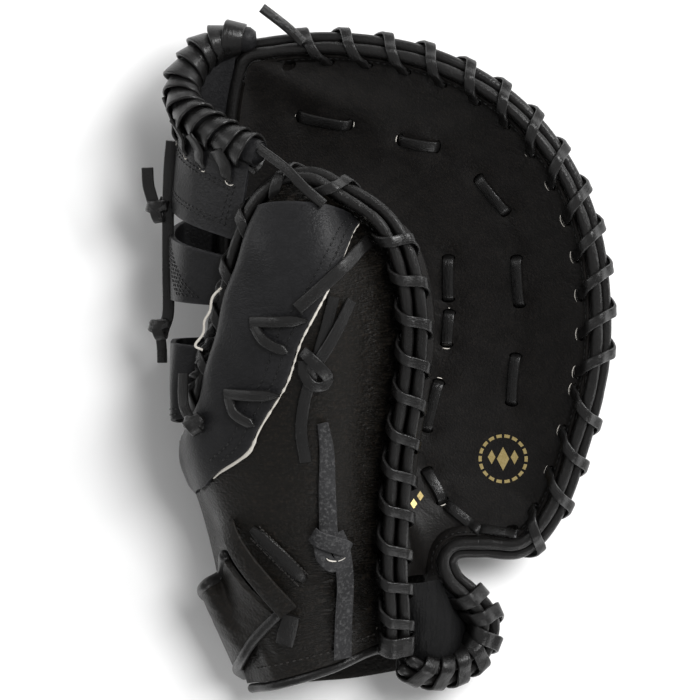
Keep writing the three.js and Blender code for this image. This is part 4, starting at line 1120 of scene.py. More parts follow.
def tube(name, middles, first_way, second_way, radii, sides=20):
    """A closed roll round a line of middles, with a way across and a way up at each."""
    middles = [np.asarray(m, float) for m in middles]
    first_way, second_way, radii = list(first_way), list(second_way), list(radii)
    for at, step in ((0, -1), (len(middles) - 1, 1)):
        along = unit(middles[at] - middles[at - step])
        rows = [
            (middles[at] + along * radii[at] * push, first_way[at], second_way[at], radii[at] * shrink)
            for push, shrink in ((0.5, 0.87), (0.87, 0.5))
        ]
        for row in rows:
            spot = 0 if step < 0 else len(middles)
            for values, value in zip((middles, first_way, second_way, radii), row):
                values.insert(spot, value)
    angles = 2 * math.pi * np.arange(sides) / sides
    points, uv = [], []
    run = 0.0
    for k, middle in enumerate(middles):
        if k:
            run += float(np.linalg.norm(middle - middles[k - 1]))
        for angle in angles:
            around = math.cos(angle) * first_way[k] + math.sin(angle) * second_way[k]
            points.append(middle + radii[k] * around)
            uv.append((angle * radii[len(radii) // 2] * MM * LAY_PER_METRE, run * MM * LAY_PER_METRE))
    faces = [list(range(sides))[::-1]]
    for k in range(len(middles) - 1):
        for i in range(sides):
            a, b = k * sides + i, k * sides + (i + 1) % sides
            faces.append([a, b, b + sides, a + sides])
    last = (len(middles) - 1) * sides
    faces.append(list(range(last, last + sides)))
    made = mesh_of(name, points, faces, uv, np.zeros(len(points)), smooth_angle=60)
    return outward(made)


def welt(name, edge, palmwards, seed):
    rng = np.random.default_rng(seed)
    count = int(edge.length / WELT_STEP)
    lengths = np.linspace(0, edge.length, count + 1)
    spots = [edge.at_length(s) for s in lengths]
    crossings = []
    for _, laced, start, end, pitch, way in WHIP_LACES:
        if laced is edge:
            places = whip_places(edge, start, end, pitch)
            shift = 0.3 * way * (places[1] - places[0])
            crossings.extend(places + (shift if palmwards > 0 else -shift))
    swell = 0.035 * np.interp(lengths, np.linspace(0, edge.length, 40), rng.uniform(-1, 1, 40))
    radii = []
    for s, extra in zip(lengths, swell):
        pinch = max((math.exp(-(((s - at) / 3.4) ** 2)) for at in crossings), default=0)
        radii.append(WELT_RADIUS * (1.02 + extra - 0.08 * pinch))
    middles = [beside(spot, WELT_MIDDLE, palmwards) for spot in spots]
    outs, palms = [spot["out"] for spot in spots], [spot["palm"] for spot in spots]
    return tube(name, middles, outs, palms, radii)


welt_hide = hide(
    "welt hide",
    (0.0042, 0.004, 0.004),
    (0.0078, 0.0074, 0.0072),
    (0.026, 0.024, 0.022),
    0.32,
    pebbles_per_metre=900,
    grain_depth=0.12,
    creases=("lay", (50.0, 20.0, 1.0)),
    crease_depth=0.1,
    speckled=0.12,
    gloss=0.5,
)
WELTS = [
    ("finger_palm_welt", finger_edge, WELT_SPREAD),
    ("finger_back_welt", finger_edge, -WELT_SPREAD),
    ("thumb_palm_welt", thumb_edge, WELT_SPREAD),
    ("thumb_back_welt", thumb_edge, -WELT_SPREAD),
]
for seed, (name, edge, palmwards) in enumerate(WELTS):
    dress(welt(name + "_roll", edge, palmwards, seed), "welt_leather", welt_hide, replaces=[name])


# Whip laces: flat rawhide, cut from the hide with sharp edges painted paler, for the cut core, wear and a
# highlight. Each
# comes up a hole, crosses both welts and goes down the next hole from the other side.
STRAP_CORNER = 0.42


def strap(name, stations, width=LACE_WIDTH, thickness=LACE_THICKNESS, smooth=8, crown=0.0, tip=0.0):
    """A flat strap through stations of (point, way across, widening)."""
    points = np.array([row[0] for row in stations], float)
    ways = np.array([row[1] for row in stations], float)
    widths = np.array([row[2] if len(row) > 2 else 1.0 for row in stations])
    count = (len(points) - 1) * smooth
    shares = np.linspace(0, 1, count + 1)
    line = through(points, shares)
    knots = np.linspace(0, 1, len(points))
    wide = np.stack([np.interp(shares, knots, ways[:, k]) for k in range(3)], axis=1)
    widen = np.interp(shares, knots, widths)
    along = unit(np.gradient(line, axis=0))
    wide = unit(wide - np.sum(wide * along, axis=1, keepdims=True) * along)
    thick = np.cross(along, wide)
    if tip:
        run = np.concatenate([[0], np.cumsum(np.linalg.norm(np.diff(line, axis=0), axis=1))])
        left = run[-1] - run
        widen = widen * np.clip(0.25 + 0.75 * left / tip, 0, 1)
    half_t = thickness / 2
    radius = STRAP_CORNER * thickness
    corners = []
    for sw, st, first in ((1, 1, 0), (-1, 1, 90), (-1, -1, 180), (1, -1, 270)):
        for turn in (0, 45, 90):
            angle = math.radians(first + turn)
            corners.append((sw, st, radius * (math.cos(angle) - sw), radius * (math.sin(angle) - st)))
    mesh_points, uv, wear_and_highlight_mask = [], [], []
    run = 0.0
    for k in range(count + 1):
        if k:
            run += float(np.linalg.norm(line[k] - line[k - 1]))
        half_w = width * widen[k] / 2
        for sw, st, dw, dt in corners:
            w, t = sw * half_w + dw, st * half_t + dt
            t += crown * (1 - (w / half_w) ** 2) if st > 0 else 0
            mesh_points.append(line[k] + w * wide[k] + t * thick[k])
            uv.append((w * MM * LAY_PER_METRE, run * MM * LAY_PER_METRE))
            # Edge vertices are marked for wear and a painted highlight.
            wear_and_highlight_mask.append(1.0 if abs(dt) > 0.9 * radius or abs(w) > half_w - 0.02 else 0.0)
    ring = len(corners)
    faces = [list(range(ring))[::-1]]
    for k in range(count):
        for i in range(ring):
            a, b = k * ring + i, k * ring + (i + 1) % ring
            faces.append([a, b, b + ring, a + ring])
    faces.append(list(range(count * ring, (count + 1) * ring)))
    return outward(mesh_of(name, mesh_points, faces, uv, wear_and_highlight_mask, smooth_angle=50))


OVER_WELT = WELT_RADIUS + LACE_LIFT + CLEARANCE
CORNER_OUT = WELT_MIDDLE + OVER_WELT
WRAP = [
    (0.0, -HOLE_INSET, WELT_SPREAD + PALM_THICKNESS / 2 + 0.6 * LACE_LIFT),
    (0.1, -1.2, WELT_SPREAD + 0.86 * OVER_WELT),
    (0.25, WELT_MIDDLE - 0.5, WELT_SPREAD + OVER_WELT + 0.4),
    (0.42, CORNER_OUT - 0.5, WELT_SPREAD + 0.45 * OVER_WELT),
    (0.5, CORNER_OUT - 0.4, 0.0),
    (0.58, CORNER_OUT - 0.5, -WELT_SPREAD - 0.45 * OVER_WELT),
    (0.75, WELT_MIDDLE - 0.5, -WELT_SPREAD - OVER_WELT - 0.3),
    (0.9, -1.2, -WELT_SPREAD - 0.86 * OVER_WELT),
    (1.0, -HOLE_INSET, -WELT_SPREAD - BACK_THICKNESS / 2 - 0.6 * LACE_LIFT),
]


def whip_stations(edge, start, end, pitch, way, seed):
    rng = np.random.default_rng(seed)
    places = whip_places(edge, start, end, pitch)
    if way < 0:
        places = places[::-1]
    first = edge.at_length(places[0])
    rows = [(beside(first, -HOLE_INSET, 0), first["along"], 0.9)]
    for a, b in zip(places, places[1:]):
        sway = rng.uniform(-0.03, 0.03)
        for share, out, palm in WRAP:
            lean = share + sway * math.sin(math.pi * share)
            spot = edge.at_length(a + (b - a) * lean)
            snug = 0.88 if share in (0.0, 1.0) else 1.0
            rows.append((beside(spot, out, palm), spot["along"], snug))
    last = edge.at_length(places[-1])
    rows.append((beside(last, -HOLE_INSET, 0), last["along"], 0.9))
    return rows


lace_hide = hide(
    "lace rawhide",
    (0.004, 0.0039, 0.0039),
    (0.0075, 0.0072, 0.0071),
    (0.024, 0.022, 0.021),
    0.29,
    pebbles_per_metre=1000,
    grain_depth=0.07,
    creases=("lay", (110.0, 12.0, 1.0)),
    crease_depth=0.09,
    speckled=0.12,
    wear_and_highlight_share=0.22,
    gloss=0.6,
)
end_wrap = []
for turn in range(2):
    for share, out, palm_way in WRAP[:-1]:
        spot = thumb_edge.at_length(1.0 + 5.5 * (turn + share) / 2)
        end_wrap.append((beside(spot, out, palm_way), spot["along"], 1.0))
end_wrap_lace = strap("thumb_end_wrap_rawhide", end_wrap, width=WIDE_LACE, smooth=5, crown=0.35)
dress(end_wrap_lace, "lace_leather", lace_hide)
for seed, (name, edge, start, end, pitch, way) in enumerate(WHIP_LACES):
    turns = whip_stations(edge, start, end, pitch, way, seed + 40)
    wide = WIDE_LACE if name == "heel_lace" else WHIP_WIDTH
    wrapped = strap(name + "_rawhide", turns, width=wide, smooth=5, crown=0.35)
    dress(wrapped, "lace_leather", lace_hide, replaces=[name])


# Running laces in the pocket: the same rawhide, in and out of the palm, which is drawn in
# round each hole.
POCKET_SIDE = -(PALM_THICKNESS / 2 + LACE_LIFT)
for name, route in PALM_LACE_ROUTES.items():
    rows = []
    frames = lace_hole_frames(route)
    for i, (middle, normal, way) in enumerate(frames):
        across = np.cross(normal, way)
        into = 1 if i % 2 == 0 else -1
        steps = [(-POCKET_SIDE, 1.6), (0, 0.2), (POCKET_SIDE * 0.75, -1.6)]
        for lift, back in steps if i % 2 == 0 else reversed(steps):
            rows.append((middle + normal * lift - way * into * back, across, 0.94))
    dress(strap(name + "_rawhide", rows, smooth=6), "lace_leather", lace_hide, replaces=[name])


# Web: a leather-wrapped bar along the top and three panels, folded round the mitt's left
# side, with open windows between. The middle panel's cut edges are raw and pale.
WEB_SPINE = [
    (0.42, -42.6, -13.0, 44),
    (0.55, -43.8, -3.0, 45),
    (0.7, -44.4, 7.5, 47),
    (0.85, -44.2, 19.5, 52),
    (1.0, -42.0, 33.5, 58),
]
WEB_BAR = [
    (-29.0, 45.6, 47.5),
    (-33.9, 45.2, 47.8),
    (-38.9, 42.7, 52.2),
    (-41.8, 39.0, 57.4),
    (-41.4, 35.5, 64.3),
    (-37.0, 32.4, 73.0),
    (-30.6, 29.6, 79.0),
    (-25.5, 28.0, 83.5),
]
WEB_BAR_RADIUS = 6.2
WEB_TOP_FOOT = 0.865


def web_section(v):
    reach = WELT_MIDDLE + 0.4
    finger = beside(finger_edge.at("web", v), reach, 0)
    thumb = beside(thumb_edge.at("web", v), reach, 0)
    spine = along_rail(WEB_SPINE, v)
    belly = 0.06 * MITT[2] * 100
    low, high = np.array([-belly, 0, -belly]), np.array([-belly, 0, belly])
    return [finger, (finger + spine) / 2 + low, spine, (thumb + spine) / 2 + high, thumb]


def even(points, count):
    """Points evenly spaced along the curve through the given ones."""
    dense = through(points, np.linspace(0, 1, 400))
    run = np.concatenate([[0], np.cumsum(np.linalg.norm(np.diff(dense, axis=0), axis=1))])
    at = np.linspace(0, run[-1], count)
    return np.stack([np.interp(at, run, dense[:, k]) for k in range(3)], axis=1)


web_leather = Leather(web_section, CROTCH)
BAR_STEPS = 60
bar_line = even(np.array(WEB_BAR) * MITT, BAR_STEPS + 1)
bar_along = unit(np.gradient(bar_line, axis=0))
bar_side = unit(np.cross(bar_along, (0, 0, 1)))
bar_rise = np.cross(bar_side, bar_along)
bar_length = float(np.sum(np.linalg.norm(np.diff(bar_line, axis=0), axis=1)))
web_hide = hide(
    "web hide",
    (0.0062, 0.0062, 0.0068),
    (0.0115, 0.0115, 0.0125),
    (0.032, 0.03, 0.03),
    0.44,
    pebbles_per_metre=900,
    grain_depth=0.13,
    creases=("lay", (24.0, 30.0, 1.0)),
    crease_depth=0.1,
    speckled=0.15,
    gloss=0.35,
)
raw_edge = hide(
    "raw cut edge",
    (0.5, 0.47, 0.42),
    (0.68, 0.65, 0.6),
    (0.3, 0.27, 0.23),
    0.85,
    pebbles_per_metre=1500,
    wear_and_highlight_share=0.0,
)
bar_radii = [WEB_BAR_RADIUS] * (BAR_STEPS + 1)
web_core = tube("web_bar_core", bar_line, bar_side, bar_rise, bar_radii, sides=28)
dress(web_core, "web_leather", web_hide, replaces=["web_bar"])

BAR_PITCH = 8.6
BAR_TURNS = max(1, round(bar_length / BAR_PITCH))
bar_wrap = []
bar_random = np.random.default_rng(7)
bar_sway = bar_random.uniform(-1, 1, BAR_TURNS * 4 + 1)
for turn in np.linspace(0, BAR_TURNS, BAR_TURNS * 20 + 1):
    share = 0.03 + 0.94 * turn / BAR_TURNS
    at = share * BAR_STEPS
    k = min(int(at), BAR_STEPS - 1)
    middle = bar_line[k] + (bar_line[k + 1] - bar_line[k]) * (at - k)
    angle = 2 * math.pi * turn
    sway = float(np.interp(turn * 4, np.arange(len(bar_sway)), bar_sway))
    ring = WEB_BAR_RADIUS + LACE_LIFT + 0.55 * sway
    around = bar_side[k] * math.cos(angle) + bar_rise[k] * math.sin(angle)
    tilt = bar_along[k] * math.cos(0.3) + around * math.sin(0.3)
    place = middle + ring * around + 0.9 * sway * bar_along[k]
    bar_wrap.append((place, tilt, 1.72 + 0.12 * sway))
wrapped_bar = strap("web_bar_wrapping", bar_wrap, smooth=2, crown=0.8)
dress(wrapped_bar, "lace_leather", lace_hide, replaces=["web_bar_lace"])

web_us = split_spans([12, 14, 14, 12])
top_foot = web_leather.row(web_us, WEB_TOP_FOOT)
bar_exact = even(np.array(WEB_BAR) * MITT, 401)
top_head = np.array([bar_exact[int(round(400 * min(max(u, 0.04), 0.96)))] for u in web_us])
gap_share = WEB_BAR_RADIUS / np.linalg.norm(top_head - top_foot, axis=1)
top_head = top_head + (top_foot - top_head) * gap_share[:, None]
top_shares = np.linspace(0, 1, 26)
web_top_grid = top_foot[None] + (top_head - top_foot)[None] * top_shares[:, None, None]
web_middle_grid = web_leather.grid(web_us, np.linspace(0.7, 0.82, 22))
web_low_grid = web_leather.grid(web_us, np.linspace(0.45, 0.615, 28))
WEB_PANELS = [
    ("web_top_panel", web_top_grid, back_cut_edge),
    ("web_middle_panel", web_middle_grid, raw_edge),
    ("web_low_panel", web_low_grid, back_cut_edge),
]
for name, grid, cut_edge in WEB_PANELS:
    web_panel = leather_sheet(name + "_leather", grid, WEB_THICKNESS, eased=0.3)
    dress(web_panel, "web_leather", web_hide, cut_edge, replaces=[name])


# Web laces: a flat lace down the outer fold of the web, knotted at both ends, and a short
# one that ties the low panel to the thumb. Each knot is made of short turns of lace.
FLAT_ACROSS = np.array([1.0, 0, 0])


def placed(rows):
    return np.array(rows, float) * MITT


KNOT_SQUASH = 0.7
KNOT_TURNS = 1.25


def knot_turn(place, axis, way, radius, width):
    """A turn and a quarter of lace round a line."""
    middle = placed(place)
    axis = unit(axis)
    way = unit(way - np.dot(way, axis) * axis)
    side = np.cross(axis, way)
    rows = []
    for k in range(int(KNOT_TURNS * 12) + 1):
        angle = 2 * math.pi * k / 12
        drift = axis * (k / (KNOT_TURNS * 12) - 0.5) * width * 0.9
        around = way * math.cos(angle) * radius + side * math.sin(angle) * radius * KNOT_SQUASH
        rows.append((middle + around + drift, axis, 0.95))
    return strap("knot turn", rows)


def flat_run(rows, **options):
    """A flat lace through rows of x, y and z in percent of the mitt's sizes."""
    return strap("flat run", [(point, FLAT_ACROSS) for point in placed(rows)], **options)


def join(name, parts):
    """One mesh of several, for the turns and tails of one lace."""
    bpy.context.view_layer.update()
    points, faces, uv, wear_and_highlight_mask = [], [], [], []
    for part in parts:
        mesh = part.data
        start = len(points)
        points.extend(tuple(v.co) for v in mesh.vertices)
        wear_and_highlight_mask.extend(row.value for row in mesh.attributes["edge_wear_and_highlight"].data)
        lay = {}
        for loop, row in zip(mesh.loops, mesh.uv_layers["lay"].data):
            lay[loop.vertex_index] = tuple(row.uv)
        uv.extend(lay[k] for k in range(len(mesh.vertices)))
        faces.extend([start + k for k in face.vertices] for face in mesh.polygons)
        bpy.data.objects.remove(part)
    return mesh_of(name, np.array(points) / MM, faces, uv, wear_and_highlight_mask, smooth_angle=50)


SPINE_RUN = [
    (-44.4, 30.5, 56.0),
    (-44.9, 27.5, 53.5),
    (-45.3, 21.0, 51.5),
    (-45.4, 12.0, 49.0),
    (-45.5, 5.0, 47.0),
    (-46.2, 3.5, 46.5),
]
spine_lace = join(
    "web_spine_lace_rawhide",
    [
        flat_run(SPINE_RUN),
        knot_turn((-47.6, 20.9, 52), (0.25, 1, 0.1), (1, 0, 0), 4.4, 5.6),
        knot_turn((-47.2, 20.2, 52), (1, 0.15, 0.1), (0, 1, 0), 4.4, 4.8),
        flat_run([(-48.4, 21.5, 53), (-49.4, 24.0, 54), (-49.6, 26.6, 55.7)]),
        knot_turn((-47.3, 3.4, 46.8), (0.3, 1, 0), (1, 0, 0), 4.2, 5.2),
        knot_turn((-47.0, 3.0, 46.8), (1, 0.2, 0.1), (0, 1, 0), 4.2, 4.8),
        flat_run([(-47.3, 2.8, 45.6), (-46.9, 0.4, 43.0), (-46.9, -1.8, 40.0)], width=4.8),
    ],
)
dress(spine_lace, "lace_leather", lace_hide, replaces=["web_spine_lace"])
low_web_lace = join(
    "low_web_lace_rawhide",
    [
        flat_run([(-41.6, -3.4, 70), (-41.4, -8.0, 72.6), (-39.6, -10.4, 76.4)], width=4.8),
        knot_turn((-39.2, -10.4, 77.0), (0.2, 1, 0), (1, 0, 0), 4.0, 5.2),
        knot_turn((-39.0, -10.8, 77.4), (0.9, 0.5, 0), (0, 1, 0.3), 3.9, 4.8),
    ],
)
dress(low_web_lace, "lace_leather", lace_hide, replaces=["low_web_lace"])


# Thumb panel: a second leather laid over the thumb from the web side, sewn with two rows
# and left raw and pale along its right edge.
PANEL_ROWS = [
    (0.342, 0.22, 0.37),
    (0.36, 0.08, 0.42),
    (0.385, 0.05, 0.47),
    (0.44, 0.25, 0.506),
    (0.53, 0.27, 0.543),
    (0.64, 0.27, 0.562),
    (0.74, 0.27, 0.597),
    (0.83, 0.27, 0.64),
    (0.89, 0.28, 0.695),
    (0.945, 0.32, 0.79),
]
ON_THUMB = BACK_THICKNESS / 2 + 3 * CLEARANCE
OVER_THUMB = ON_THUMB + LACE_THICKNESS / 2
OVER_PANEL = OVER_THUMB + WEB_THICKNESS + CLEARANCE


def panel_sides(v):
    table = np.array(PANEL_ROWS)
    rows = through(np.column_stack([table[:, 0], table[:, 1], table[:, 2]]), np.linspace(0, 1, 300))
    return np.interp(v, rows[:, 0], rows[:, 1]), np.interp(v, rows[:, 0], rows[:, 2])


panel_vs = split_runs([0.342, 0.385, 0.44, 0.945], 0.008)
PANEL_COLUMNS = 45
panel_grid = np.array(
    [thumb_back_leather.row(np.linspace(*panel_sides(v), PANEL_COLUMNS), v) for v in panel_vs]
)
PANEL_RIPPLES = [
    ((-74.0, 25.0, 98.0), 34, (0.9, 0.4, 0), 24, 0.7, 0.05),
    ((-76.0, -25.0, 94.0), 24, (1, 0.25, 0), 17, 0.6, -0.05),
]
panel_relief = ripples(panel_grid, PANEL_RIPPLES) + 0.7
panel_inset = np.minimum(np.arange(PANEL_COLUMNS), PANEL_COLUMNS - 1 - np.arange(PANEL_COLUMNS))
thumb_panel = leather_sheet(
    "thumb_panel_leather",
    panel_grid,
    WEB_THICKNESS,
    lift=ON_THUMB + WEB_THICKNESS / 2,
    relief=panel_relief * np.clip(panel_inset / 10, 0, 1)[None, :],
    eased=0.25,
)
dress(thumb_panel, "web_leather", web_hide, raw_edge, replaces=["thumb_panel"])


def laid(name, route, base=OVER_THUMB, width=LACE_WIDTH, **options):
    """A strap on the thumb back through rows of u, v, lift over the base and widening."""
    rows = [(*row, 1.0) if len(row) == 3 else row for row in route]
    points = [thumb_back_leather.over(u, v, base + lift) for u, v, lift, _ in rows]
    normals = [thumb_back_leather.normal(u, v) for u, v, _, _ in rows]
    stations = []
    for i, (u, v, lift, widen) in enumerate(rows):
        way = points[min(i + 1, len(rows) - 1)] - points[max(i - 1, 0)]
        stations.append((points[i], unit(np.cross(normals[i], way)), widen))
    return strap(name, stations, width=width, **options)


V_LACES = [
    ("v_lace_upper", (0.475, 0.665), (0.57, 0.681), (0.545, 0.605)),
    ("v_lace_lower", (0.456, 0.515), (0.54, 0.513), (0.505, 0.45)),
]
for name, hole, level, slant in V_LACES:
    middle = ((hole[0] + level[0]) / 2, (hole[1] + level[1]) / 2)
    below = ((hole[0] + slant[0]) / 2 - 0.004, (hole[1] + slant[1]) / 2 - 0.006)
    arms = [
        laid(
            "level arm",
            [(*hole, 0), (*middle, 2.5), (*level, 1.2)],
            base=OVER_PANEL,
            width=0.95 * LACE_WIDTH,
            thickness=1.9,
            crown=0.7,
            tip=6.0,
        ),
        laid(
            "slant arm",
            [(hole[0] + 0.008, hole[1] - 0.008, 0.3), (*below, 2.1), (*slant, 0.9)],
            base=OVER_PANEL,
            width=0.9 * LACE_WIDTH,
            thickness=1.9,
            crown=0.7,
            tip=3.0,
        ),
    ]
    dress(join(name + "_rawhide", arms), "lace_leather", lace_hide, replaces=[name])


# Free ends on the thumb: a thong that comes over the thumb rim, a knotted lace and a wide
# suede thong that runs down to the wrist.
thumb_thong = laid(
    "thumb_thong_rawhide",
    [
        (0.735, 0.862, OVER_THUMB + 0.6),
        (0.688, 0.844, OVER_THUMB + 3.9),
        (0.622, 0.802, OVER_PANEL + 3.0),
        (0.55, 0.706, OVER_PANEL + 1.9),
    ],
    base=0.0,
    width=6.0,
    thickness=1.8,
)
dress(thumb_thong, "lace_leather", lace_hide, replaces=["thumb_thong"])

knot_lace = join(
    "thumb_knot_lace_rawhide",
    [
        laid(
            "under lace",
            [
                (0.617, 0.735, 0),
                (0.606, 0.669, 0),
                (0.594, 0.594, 0.4),
                (0.588, 0.563, 0.6),
                (0.575, 0.5, 0),
                (0.569, 0.438, -0.3),
                (0.573, 0.385, -0.3),
            ],
        ),
        laid(
            "over lace",
            [
                (0.65, 0.722, 1.4),
                (0.622, 0.656, 2.2),
                (0.597, 0.592, 2.6),
                (0.583, 0.566, 2.2),
                (0.585, 0.545, 1.2),
            ],
        ),
        laid(
            "knot band",
            [
                (0.567, 0.607, 1.4),
                (0.578, 0.596, 3.6),
                (0.597, 0.573, 4.2),
                (0.61, 0.552, 3.2),
                (0.612, 0.54, 1.2),
            ],
        ),
        laid(
            "knot loop",
            [
                (0.569, 0.585, 1.0),
                (0.573, 0.555, 2.4),
                (0.588, 0.532, 2.9),
                (0.606, 0.532, 2.2),
                (0.618, 0.548, 0.8),
            ],
            width=4.8,
        ),
    ],
)
dress(knot_lace, "lace_leather", lace_hide, replaces=["thumb_knot_lace"])

suede = hide(
    "thong suede",
    (0.006, 0.006, 0.0062),
    (0.05, 0.05, 0.052),
    (0.13, 0.13, 0.13),
    0.9,
    pebbles_per_metre=620,
    grain_depth=0.4,
    speckled=0.45,
    gloss=0.15,
)
wide_thong = join(
    "wide_thong_suede",
    [
        laid(
            "upper run",
            [
                (0.606, 0.456, 0, 0.9),
                (0.612, 0.405, 0, 1.25),
                (0.607, 0.34, 0.3, 1.45),
                (0.602, 0.262, 1.6, 1.55),
                (0.602, 0.245, 2.2, 1.5),
            ],
        ),
        laid(
            "lower run",
            [
                (0.618, 0.262, 1.4, 1.4),
                (0.627, 0.235, 1.8, 1.6),
                (0.638, 0.17, 1, 1.65),
                (0.634, 0.09, 0.7, 1.65),
                (0.632, 0.012, 1.4, 1.65),
            ],
        ),
        laid(
            "knot band",
            [
                (0.57, 0.262, 0.8, 1.3),
                (0.578, 0.258, 3.2, 1.4),
                (0.602, 0.25, 4.3, 1.45),
                (0.632, 0.238, 3.6, 1.4),
                (0.648, 0.232, 1.6, 1.2),
            ],
        ),
        laid(
            "knot loop",
            [
                (0.585, 0.25, 1.6, 1.3),
                (0.588, 0.222, 2.0, 1.3),
                (0.606, 0.205, 1.6, 1.2),
                (0.624, 0.205, 0.9, 1.1),
            ],
        ),
    ],
)
dress(wide_thong, "thong_leather", suede, replaces=["wide_thong"])


# Wrist: a rolled binding round the open edge, a strap across the back of the hand with
# rolled sides, a keeper that crosses it and a tab drawn through a slot.
BINDING_RADIUS = 2.3
BINDING_STEPS = 70
binding_middles = []
for u in np.linspace(0.06, 0.9, BINDING_STEPS):
    edge_point = thumb_back_leather.point(u, 0)
    outwards = unit(edge_point - thumb_back_leather.point(u, 0.03))
    binding_middles.append(edge_point + outwards * (BINDING_RADIUS + 2 * CLEARANCE))
binding_middles = np.array(binding_middles)
binding_along = unit(np.gradient(binding_middles, axis=0))
binding_side = unit(np.cross(binding_along, (0, 0, 1)))
wrist_binding = tube(
    "wrist_binding_roll",
    binding_middles,
    binding_side,
    np.cross(binding_side, binding_along),
    [BINDING_RADIUS] * BINDING_STEPS,
)
dress(wrist_binding, "back_leather", welt_hide, replaces=["wrist_binding"])

STRAP_THICKNESS = 3.0
STRAP_ROLL = 2.7
STRAP_STEPS = 61
STRAP_LIFT = ON_THUMB + STRAP_THICKNESS / 2 + CLEARANCE
STRAP_SIDES = [
    ([(0.345, 0.23), (0.24, 0.205)], [(-37.2, -34.6, 45), (-38.2, -36.0, 34), (-35.6, -38.4, 12)]),
    ([(0.465, 0.125), (0.36, 0.085)], [(-29.6, -45.0, 42), (-31.0, -47.2, 28), (-29.8, -48.6, 11)]),
]


def strap_line(share):
    (near_uv, near_free), (far_uv, far_free) = STRAP_SIDES
    uv = np.array(near_uv) + (np.array(far_uv) - np.array(near_uv)) * share
    free = placed(near_free) + (placed(far_free) - placed(near_free)) * share
    laid_points = [thumb_back_leather.over(u, v, STRAP_LIFT) for u, v in uv]
    return through(np.vstack([laid_points, free]), np.linspace(0, 1, STRAP_STEPS))


strap_grid = np.array([strap_line(share) for share in np.linspace(0, 1, 37)])
strap_relief = ripple_field(strap_grid, strap_grid[18, 22], 16, (0.2, 0.9, 0.4), 7.0, 0.2, 0.03)
wrist_strap = leather_sheet(
    "wrist_strap_leather", strap_grid, STRAP_THICKNESS, relief=strap_relief, eased=0.6
)
dress(wrist_strap, "back_leather", back_hide, back_cut_edge, replaces=["wrist_strap"])
for name, share in (("wrist_strap_upper_roll", 0.0), ("wrist_strap_lower_roll", 1.0)):
    line = strap_line(share)
    inward = unit(strap_line(0.5) - line)
    along = unit(np.gradient(line, axis=0))
    up_way = unit(np.cross(along, inward))
    rolled = tube(name, line - 0.6 * inward, inward, up_way, [STRAP_ROLL] * STRAP_STEPS)
    dress(rolled, "back_leather", welt_hide)

OVER_STRAP = STRAP_LIFT + STRAP_THICKNESS / 2 + CLEARANCE + LACE_THICKNESS
keeper = laid(
    "strap_keeper_leather",
    [
        (0.4, 0.279, OVER_THUMB - 0.3, 1.5),
        (0.412, 0.258, OVER_THUMB + 2.6, 1.8),
        (0.43, 0.228, OVER_STRAP, 1.9),
        (0.462, 0.182, OVER_STRAP + 0.4, 1.9),
        (0.5, 0.131, OVER_STRAP - 0.2, 1.9),
    ],
    base=0.0,
    thickness=1.7,
    crown=0.6,
)
dress(keeper, "back_leather", back_hide, replaces=["strap_keeper"])
tab = laid(
    "strap_tab_leather",
    [
        (0.5, 0.118, 0, 1.5),
        (0.485, 0.09, 0.5, 1.6),
        (0.47, 0.066, 0, 1.5),
    ],
    thickness=1.8,
)
dress(tab, "back_leather", welt_hide, replaces=["strap_tab"])


# Short free ends: a lace tail above the rim, and the wide lace over the thumb tip
FREE_ENDS = [
    ("rim_tail", [(-16.6, 44.9, 53.0), (-19.6, 46.9, 53.6), (-25.3, 49.9, 56)]),
    ("tip_strap", [(-25.4, 28.7, 88.4), (-20.0, 25.8, 94.8), (-15.9, 22.9, 97.2), (-12.0, 20.6, 97.4)]),
]
for name, rows in FREE_ENDS:
    stations = [(point, np.array([0, 1.0, 0])) for point in placed(rows)]
    tail = strap(name + "_rawhide", stations, width=4.7, thickness=1.8)
    dress(tail, "lace_leather", lace_hide, replaces=[name])


# Raw rims: the pale cut core of the leather that shows at each lace hole and along the
# thumb panel's right edge, where the knife left it undyed.
HOLE_REACH = (HOLE_WIDTH / 2, HOLE_LENGTH / 2)


def pale_arc(middle, axis, inward, long_way, reach=HOLE_REACH, half_turn=62, thick=0.34):
    """A thin arc round the inner side of a hole, as points and faces."""
    axis, inward, long_way = unit(axis), unit(inward), unit(long_way)
    count, sides = 9, 6
    points, faces = [], []
    for k, angle in enumerate(np.radians(np.linspace(-half_turn, half_turn, count))):
        out_way = unit(inward * math.cos(angle) * reach[1] + long_way * math.sin(angle) * reach[0])
        place = middle + inward * math.cos(angle) * reach[0] + long_way * math.sin(angle) * reach[1]
        radius = thick * (0.35 + 0.65 * math.cos(angle * 90 / half_turn))
        for turn in 2 * math.pi * np.arange(sides) / sides:
            points.append(place + radius * (math.cos(turn) * out_way + math.sin(turn) * axis))
        if k:
            for i in range(sides):
                a, b = (k - 1) * sides + i, (k - 1) * sides + (i + 1) % sides
                faces.append([a, b, b + sides, a + sides])
    faces.append(list(range(sides))[::-1])
    faces.append(list(range((count - 1) * sides, count * sides)))
    return points, faces


def gathered(name, parts):
    points, faces = [], []
    for some_points, some_faces in parts:
        start = len(points)
        points.extend(some_points)
        faces.extend([start + k for k in face] for face in some_faces)
    return outward(mesh_of(name, points, faces, smooth_angle=60))


